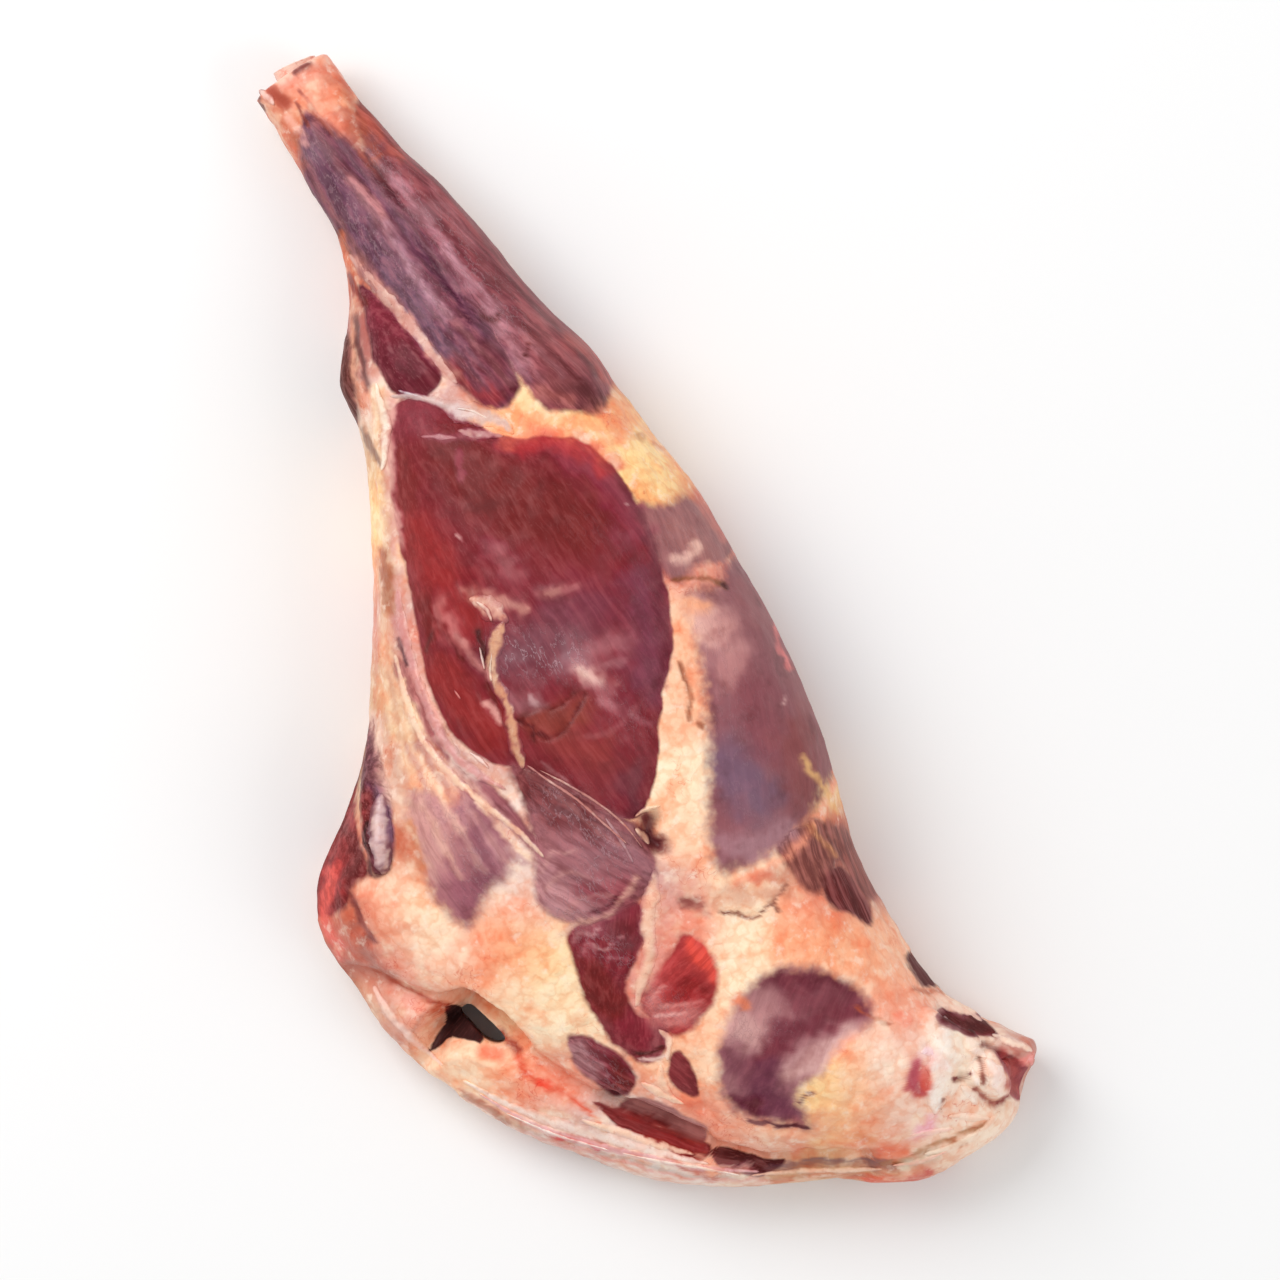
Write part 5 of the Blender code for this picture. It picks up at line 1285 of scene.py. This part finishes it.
def bone_finish():
    """Fresh sawn bone: ivory with fine pores and faint saw lines, stained by blood, and wet marrow."""
    material, tree, shader = new_finish("sawn bone", IOR=1.45, Coat_Weight=0.15, Coat_Roughness=0.25)
    place = place_in_mm(tree)
    tone = node(tree, "Attribute", attribute_name="tone").outputs["Color"]
    pores = node(tree, "TexVoronoi", {"Vector": place, "Scale": 1.6}).outputs[0]
    stain = cloud(tree, place, 3.4, 4.0, 0.6)
    saw = node(tree, "TexWave", {"Vector": place, "Scale": 0.5, "Distortion": 2.5, "Detail": 3.0},
               bands_direction="DIAGONAL").outputs[1]
    colour = tinted(tree, smooth_step(tree, pores, 0.22, 0.05, 0.0, 0.55), tone, (206, 138, 120))
    colour = tinted(tree, smooth_step(tree, stain, 0.50, 0.72, 0.0, 0.75), colour, (236, 160, 142))
    height = plus(tree, maths(tree, "MULTIPLY", saw, 0.4), pores, 0.6)
    film = use(tree, wet_film, {"Place": place, "Dull": 0.44})
    join_finish(tree, shader, colour, film["Roughness"], height, 0.45, 0.0004)
    return material


rings, share = bone_rings()
bone = add_piece("sawn_shin_bone", mesh_from_rings("sawn_shin_bone", rings), bone_finish())
face_outwards(bone.data)
speckle = step_up(noise(rings, 1.3, 84), -0.1, 0.7)[..., None]
marrow_tone = blended(np.array(MARROW), np.array(MARROW_FAT), speckle)
rim = step_up(share, 0.82, 1.05)[..., None]
hard_tone = blended(np.array(BONE_IVORY), np.array(BONE_RIM), rim)
inner = step_up(share, MARROW_EDGE - 0.06, MARROW_EDGE + 0.04)[..., None]
bone_tone = blended(marrow_tone, hard_tone, inner) / 255.0
bone_tone = np.concatenate([bone_tone[:1, 0], bone_tone[1:-1].reshape(-1, 3), bone_tone[-1:, 0]])
put_attribute(bone.data, "tone", "FLOAT_COLOR", with_alpha(bone_tone))
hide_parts("shin_bone")
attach(bone, "root")


# Strips of other tissue lie on the leg: fascia at the knee, fat in the seams of the thigh, sinews, the
# folds of membrane along the flank, and the fat of the tail. Each is thin, wet and grown on to the meat
# below, so it follows the leg's surface, sinks a little into it and runs out to nothing at its ends.
MAP_STEP = 1.0
MAP_CORNER = np.array([-150.0, -300.0])
MAP_CELLS = (300, 600)
FACING_UP = 0.1


def surface_map(mesh):
    """Heights of the leg's upper side on a square grid: each cell's mean, gaps filled in, smoothed once."""
    points, normals = points_and_normals(mesh)
    points = points[normals[:, 2] > FACING_UP]
    cell = np.round((points[:, :2] - MAP_CORNER) / MAP_STEP).astype(int)
    heights, found = np.zeros(MAP_CELLS), np.zeros(MAP_CELLS)
    np.add.at(heights, (cell[:, 0], cell[:, 1]), points[:, 2])
    np.add.at(found, (cell[:, 0], cell[:, 1]), 1)
    heights /= np.maximum(found, 1)
    for _ in range(4):
        around = np.stack([np.roll(heights, step, axis) for axis in (0, 1) for step in (-1, 1)])
        known = around > 0
        filled = np.where(known, around, 0).sum(axis=0) / np.maximum(known.sum(axis=0), 1)
        heights = np.where(heights > 0, heights, filled)
    beside = np.stack([np.roll(heights, step, axis) for axis in (0, 1) for step in (-1, 1)])
    return np.where((beside > 0).all(axis=0), (2 * heights + beside.sum(axis=0)) / 6, heights)


leg_heights = surface_map(meat.data)


def height_at(plan):
    """The leg's height at plan points, blended between the four nearest cells."""
    spot = (plan - MAP_CORNER) / MAP_STEP
    cell = np.floor(spot).astype(int)
    part = spot - cell
    total = np.zeros(plan.shape[:-1])
    for dx, dy in ((0, 0), (1, 0), (0, 1), (1, 1)):
        weight = (part[..., 0] if dx else 1 - part[..., 0]) * (part[..., 1] if dy else 1 - part[..., 1])
        total += weight * leg_heights[cell[..., 0] + dx, cell[..., 1] + dy]
    return total


STRIP_STEP = 0.6
STRIP_AROUND = 20
STRIP_LIFT = 0.08
STRIP_SINK = 0.7


def draped_strip(path, half_widths, rise, seed):
    """Rings of a strip laid on the leg, and how near each point is to its margin, from 0 to 1.

    Each ring is a lens: its upper half rises from the leg as a power of a sine, its lower half is sunk. The
    half width follows the given ones, frays with noise, and draws in to a point at both ends as a square root.
    """
    line = rounded_path(path, closed=False, steps=12)
    width = np.interp(np.linspace(0, 1, len(line)), np.linspace(0, 1, len(half_widths)), half_widths)
    run = np.concatenate([[0.0], np.cumsum(np.linalg.norm(np.diff(line, axis=0), axis=1))])
    where = np.linspace(0, run[-1], max(int(run[-1] / STRIP_STEP), 9))
    line = np.stack([np.interp(where, run, line[:, 0]), np.interp(where, run, line[:, 1])], axis=1)
    width = np.interp(where, run, width)
    ends = np.sqrt(np.clip(np.minimum(where, run[-1] - where) / np.maximum(1.6 * width, 1.5), 0, 1))
    along = np.gradient(line, axis=0)
    along /= np.linalg.norm(along, axis=1, keepdims=True)
    across = np.stack([-along[:, 1], along[:, 0]], axis=1)
    angle = np.linspace(0, 2 * math.pi, STRIP_AROUND, endpoint=False)
    side, lift = np.cos(angle)[None, :], np.sin(angle)[None, :]
    spot = np.concatenate([line, np.full((len(line), 1), 3.0 * seed)], axis=1)[:, None, :]
    spot = spot + np.stack([0 * angle, 0 * angle, 4 * np.sign(np.cos(angle))], axis=1)[None]
    fray = 1 + 0.26 * noise(spot, 3.4, seed) + 0.16 * noise(spot, 1.5, seed + 1)
    plan = line[:, None] + across[:, None] * (side * (width * ends)[:, None] * fray)[..., None]
    place = np.concatenate([plan, np.full(plan.shape[:2] + (1,), 2.0 * seed)], axis=2)
    uneven = 1 + 0.35 * noise(place, 4.0, seed + 2) + 0.15 * noise(place, 1.9, seed + 3)
    up = np.where(lift > 0, 0.85 * rise * np.abs(lift) ** 2.4 * uneven, STRIP_SINK * lift) * ends[:, None]
    rings = np.concatenate([plan, (height_at(plan) + up + STRIP_LIFT)[..., None]], axis=2)
    rings[0], rings[-1] = rings[0].mean(axis=0), rings[-1].mean(axis=0)
    margin = np.maximum(side ** 2 + 0 * uneven, 1 - ends[:, None])
    return rings, margin


def tissue_finish(name, **constants):
    """Thin wet tissue, by its own tone: faintly lobed, streaked and clouded, with the wet film on it."""
    material, tree, shader = new_finish(name, IOR=1.36, Coat_Weight=0.2, Coat_Roughness=0.16, **constants)
    place = place_in_mm(tree)
    tone = node(tree, "Attribute", attribute_name="tone").outputs["Color"]
    grain = use(tree, fat_grain, {"Tone": tone, "Place": place})
    fine = cloud(tree, place, 2.4, 4.0, 0.65)
    colour = mixed(tree, 0.55, tone, grain["Colour"])
    colour = mixed(tree, smooth_step(tree, fine, 0.55, 0.75, 0.0, 0.5), colour,
                   mixed(tree, 1.0, tone, linear(226, 176, 166), "MULTIPLY"))
    film = use(tree, wet_film, {"Place": place, "Dull": 0.38})
    height = maths(tree, "ADD", grain["Height"], fine)
    join_finish(tree, shader, colour, film["Roughness"], height, 0.5, 0.0005)
    return material


fascia_finish, soft_fat_finish = tissue_finish("fascia and sinew"), tissue_finish("soft fat")


def kept_points(rings):
    """Which points of the rings the mesh has: an end ring that has shrunk to a point keeps only its first."""
    kept = np.ones(rings.shape[:2], bool)
    kept[[0, -1], 1:] = False
    return kept.ravel()


def laid_on(name, finish, strips, seed):
    """A piece of strips (path, half widths, rise, tone), which take the leg's own tone at their edges."""
    drawn = [draped_strip(path, half_widths, rise, seed + 7 * k)
             for k, (path, half_widths, rise, _) in enumerate(strips)]
    spots = np.concatenate([rings.reshape(-1, 3) for rings, _ in drawn])
    margin = np.concatenate([edge.ravel() for _, edge in drawn])
    tone = np.concatenate([np.tile(np.array(strip[3]) / 255.0, (edge.size, 1))
                           for strip, (_, edge) in zip(strips, drawn)])
    _, lean, lean_tone, fat_tone = tissue_at(*wavered(spots))
    lean = step_up(lean, -1, 1)[:, None]
    leg_tone = blended(fat_tone, lean_tone, lean)
    frayed = margin + 0.3 * noise(spots, 2.4, seed + 5) + 0.2 * noise(spots, 1.1, seed + 6)
    share = step_up(frayed, 0.0, 0.75)[:, None] * 0.85 + 0.15
    tone = blended(tone, leg_tone, share)
    keep = np.concatenate([kept_points(rings) for rings, _ in drawn])
    piece = add_piece(name, mesh_from_rings(name, *(rings for rings, _ in drawn)), finish)
    face_outwards(piece.data)
    piece.data.shade_smooth()
    put_attribute(piece.data, "tone", "FLOAT_COLOR", with_alpha(tone[keep]))
    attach(piece, "root")
    return piece


laid_on("knee_fascia", fascia_finish, (
    (((-9, 123), (0, 119), (8, 112), (14, 106), (22, 100), (28, 95), (32, 87)),
     (0.8, 1.5, 2.2, 4.2, 4.6, 3.6, 1.8), 1.1, (204, 180, 176)),
    (((-5, 124), (-2, 121), (3, 117)), (0.6, 1.1, 0.6), 1.3, (214, 206, 210)),
    (((14, 107), (20, 103), (25, 97)), (0.5, 1.2, 0.6), 1.7, (232, 222, 216)),
    (((-12, 131), (-14, 122), (-16, 112), (-20, 104), (-25, 96)), (0.6, 2.0, 2.4, 2.0, 1.0), 0.9,
     (244, 230, 212)),
    (((11, 98), (16, 95), (21, 92), (28, 88)), (0.8, 2.2, 2.2, 1.0), 0.3, (196, 140, 140)),
    (((-4, 102), (3, 99), (10, 95)), (0.6, 1.4, 0.6), 0.2, (174, 104, 110))), 100)

laid_on("thigh_seam_fat", soft_fat_finish, (
    (((-13, 32), (-9, 28), (-5, 22), (-2, 16)), (1.6, 4.4, 5.4, 2.4), 1.0, (224, 172, 150)),
    (((-11, 30), (-8, 25), (-8, 19)), (0.7, 1.7, 0.9), 2.2, (244, 216, 198)),
    (((-3, 18), (-9, 12), (-13, 7), (-16, 1), (-17, -6), (-16, -14), (-18, -24), (-20, -33), (-21, -42)),
     (2.0, 3.6, 3.6, 2.8, 3.2, 2.2, 3.0, 3.0, 1.2), 0.9, (224, 174, 134)),
    (((-13, 8), (-17, 1), (-18.5, -4)), (0.5, 1.1, 0.5), 1.5, (246, 222, 196)),
    (((-17, 12), (-18, 7), (-19, 2)), (0.4, 0.9, 0.5), 1.3, (250, 232, 224)),
    (((-39, -26), (-36, -31), (-34, -36)), (0.5, 1.3, 0.6), 1.2, (246, 216, 206)),
    (((-34, 0), (-33, -5)), (0.5, 0.6), 0.4, (220, 140, 132))), 200)

laid_on("sinews", fascia_finish, (
    (((-80, -27), (-85, -37), (-89, -47), (-93, -59)), (1.6, 5.0, 6.0, 3.6), 1.6, (226, 196, 192)),
    (((-39, 48), (-43, 36), (-46, 20), (-47, 2), (-47, -15), (-44, -28), (-38, -38), (-31, -47)),
     (1.2, 2.4, 2.3, 1.9, 2.4, 2.6, 2.0, 0.8), 0.9, (208, 142, 138)),
    (((-51, 24), (-54, 5), (-55, -10), (-52, -25), (-47, -38), (-40, -52), (-33, -66), (-28, -79)),
     (0.9, 1.5, 1.5, 1.8, 1.8, 1.6, 1.7, 0.8), 0.8, (242, 206, 178)),
    (((-19, -41), (-13, -51), (-6, -62), (0, -75), (6, -88)), (0.4, 0.8, 0.8, 0.7, 0.4), 0.6,
     (196, 132, 124)),
    (((-15, -45), (-7, -55), (2, -68), (8, -80), (11, -92)), (0.3, 0.7, 0.7, 0.6, 0.3), 0.6,
     (200, 144, 134)),
    (((2, -74), (4, -85), (5, -96)), (0.4, 0.9, 0.5), 0.4, (176, 132, 140)),
    (((-1, 186), (3, 172), (8, 157), (12, 142), (15, 130), (19, 116)), (0.7, 1.8, 2.5, 2.4, 2.0, 0.9), 0.5,
     (204, 150, 138)),
    (((-7.5, 265), (-5.5, 261), (-4, 256)), (0.9, 2.0, 0.9), 1.4, (244, 206, 196))), 400)

laid_on("band_fat", soft_fat_finish, (
    (((12, -102), (6, -112), (0, -121), (-4, -133), (-12, -143), (-19, -152)),
     (1.4, 3.4, 3.4, 3.0, 2.4, 0.8), 0.9, (240, 194, 168)),
    (((11.5, -83), (13.5, -88), (14, -92)), (0.8, 2.0, 0.9), 2.0, (252, 226, 200)),
    (((13, -79), (18, -78), (25, -79)), (0.7, 1.3, 0.6), 1.5, (252, 220, 186)),
    (((-14, -164), (-12, -170), (-16, -178)), (0.8, 2.2, 0.8), 1.0, (248, 210, 186)),
    (((-19, -178), (-22, -186), (-21, -194)), (0.9, 2.4, 0.9), 1.2, (250, 206, 176)),
    (((-30, -182), (-24, -190), (-17, -198)), (0.8, 2.6, 0.9), 1.2, (252, 214, 184))), 500)

laid_on("flank_membranes", fascia_finish, (
    (((-99, -152), (-84, -171), (-66, -188), (-49, -202), (-32, -216), (-18, -226)),
     (0.8, 2.2, 2.8, 2.6, 2.2, 0.8), 0.9, (252, 226, 214)),
    (((-95, -160), (-81, -179), (-62, -197), (-42, -212), (-22, -226), (0, -238)),
     (0.6, 1.8, 2.2, 2.0, 1.8, 0.7), 1.1, (232, 176, 178)),
    (((-88, -172), (-72, -189), (-54, -204)), (0.4, 1.0, 0.5), 1.8, (252, 240, 232)),
    (((-50, -207), (-36, -217), (-22, -226), (-8, -236)), (0.4, 1.2, 1.0, 0.5), 1.8, (252, 236, 224)),
    (((-60, -187), (-47, -198), (-34, -210), (-22, -220)), (0.8, 2.2, 2.4, 0.9), 1.0, (252, 212, 184)),
    (((-4, -238), (14, -244), (32, -251.5), (48, -258)), (0.6, 1.4, 1.6, 0.7), 0.9, (250, 206, 178)),
    (((52, -258), (62, -261), (76, -262)), (0.5, 1.5, 0.7), 0.9, (246, 190, 170)),
    (((-117, -100), (-116, -112), (-111, -128), (-104, -143)), (0.8, 2.2, 2.0, 0.7), 0.9,
     (246, 206, 192))), 600)

laid_on("tail_fat", soft_fat_finish, (
    (((97, -211), (91, -218), (93, -226), (99, -228)), (1.5, 4.4, 4.2, 2.5), 1.4, (254, 240, 226)),
    (((101, -226), (104, -228), (107, -232)), (0.9, 2.2, 0.9), 1.6, (252, 228, 216)),
    (((106, -232), (108, -238), (107.5, -244), (105.5, -249.5)), (1.4, 4.6, 4.8, 1.6), 2.0, (254, 230, 220)),
    (((99.5, -233), (98.5, -238), (99, -242)), (0.8, 2.0, 0.9), 1.4, (254, 232, 222)),
    (((92, -238), (94, -243), (95, -249)), (1.0, 2.8, 1.2), 1.2, (252, 232, 216)),
    (((113, -225), (118, -230), (123, -235), (126, -239)), (0.9, 2.0, 2.0, 0.9), 1.0, (254, 228, 206)),
    (((97, -203), (102, -208), (108, -213), (112, -219)), (1.0, 1.8, 2.0, 0.8), 1.1, (252, 208, 184)),
    (((122, -240), (124, -242), (123, -245)), (0.9, 1.8, 0.9), 1.2, (252, 160, 156)),
    (((66, -259), (78, -261), (92, -260), (103, -256)), (0.9, 1.9, 1.9, 0.8), 0.9, (250, 224, 200)),
    (((82, -248), (90, -252), (98, -257)), (0.8, 1.9, 0.8), 1.1, (254, 226, 204)),
    (((64, -249), (72, -251), (82, -254)), (0.8, 1.8, 0.8), 0.9, (252, 206, 190))), 700)

hip_gristle = laid_on("hip_gristle", fascia_finish, (
    (((98, -209), (93, -217), (88, -227), (82, -237), (77, -245)), (1.6, 4.8, 5.6, 5.2, 1.6), 1.5,
     (252, 240, 230)),
    (((82, -218), (86, -219), (88, -223)), (1.2, 3.0, 1.2), 0.7, (250, 214, 222))), 800)
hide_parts("hip_tip")


# The floor is a plain pale sheet, lit by a large soft lamp and a fill, and the camera looks straight
# down on the leg, turned so that the hock points to the upper left of the picture.
FLOOR_SIDE = 16.0
FLOOR_GREY = (0.86, 0.86, 0.86, 1.0)
SKY_STRENGTH = 0.62
half = FLOOR_SIDE / 2
floor_mesh = bpy.data.meshes.new("floor")
corners = [(-half, -half, 0), (half, -half, 0), (half, half, 0), (-half, half, 0)]
floor_mesh.from_pydata(corners, [], [(0, 1, 2, 3)])
floor_finish, _, _ = new_finish("pale floor", Base_Color=FLOOR_GREY, Roughness=0.9)
floor = add_piece("floor", floor_mesh, floor_finish)

world = bpy.data.worlds.new("soft studio")
bpy.context.scene.world = world
world.use_nodes = True
world.node_tree.nodes["Background"].inputs["Color"].default_value = (1.0, 1.0, 1.0, 1.0)
world.node_tree.nodes["Background"].inputs["Strength"].default_value = SKY_STRENGTH


def soft_lamp(name, place, aim, side, power):
    """A square soft lamp that faces a point."""
    lamp = bpy.data.lights.new(name, "AREA")
    lamp.shape = "SQUARE"
    lamp.size = side
    lamp.energy = power
    made = bpy.data.objects.new(name, lamp)
    bpy.context.scene.collection.objects.link(made)
    made.location = place
    direction = np.array(aim) - np.array(place)
    tilt = math.acos(-direction[2] / np.linalg.norm(direction))
    made.rotation_euler = (tilt, 0.0, math.atan2(direction[1], direction[0]) - math.pi / 2)


PICTURE_TURN = math.radians(24.0)
CAMERA_PLACE = (0.0451, -0.0127, 4.0)
CAMERA_LENS = 264.5
CAMERA_SENSOR = 36.0
camera_data = bpy.data.cameras.new("camera")
camera_data.lens = CAMERA_LENS
camera_data.sensor_width = CAMERA_SENSOR
camera_data.clip_end = 5 * CAMERA_PLACE[2]
camera = bpy.data.objects.new("camera", camera_data)
bpy.context.scene.collection.objects.link(camera)
camera.location = CAMERA_PLACE
camera.rotation_euler = (0.0, 0.0, -PICTURE_TURN)
bpy.context.scene.camera = camera
aim = (CAMERA_PLACE[0], CAMERA_PLACE[1], 0.0)
soft_lamp("main lamp", (aim[0] - 0.75, aim[1] + 1.5, 1.7), aim, 1.6, 38.0)
soft_lamp("fill lamp", (aim[0] + 1.3, aim[1] - 1.2, 1.6), aim, 1.4, 12.0)
bpy.context.scene.view_settings.view_transform = "Standard"
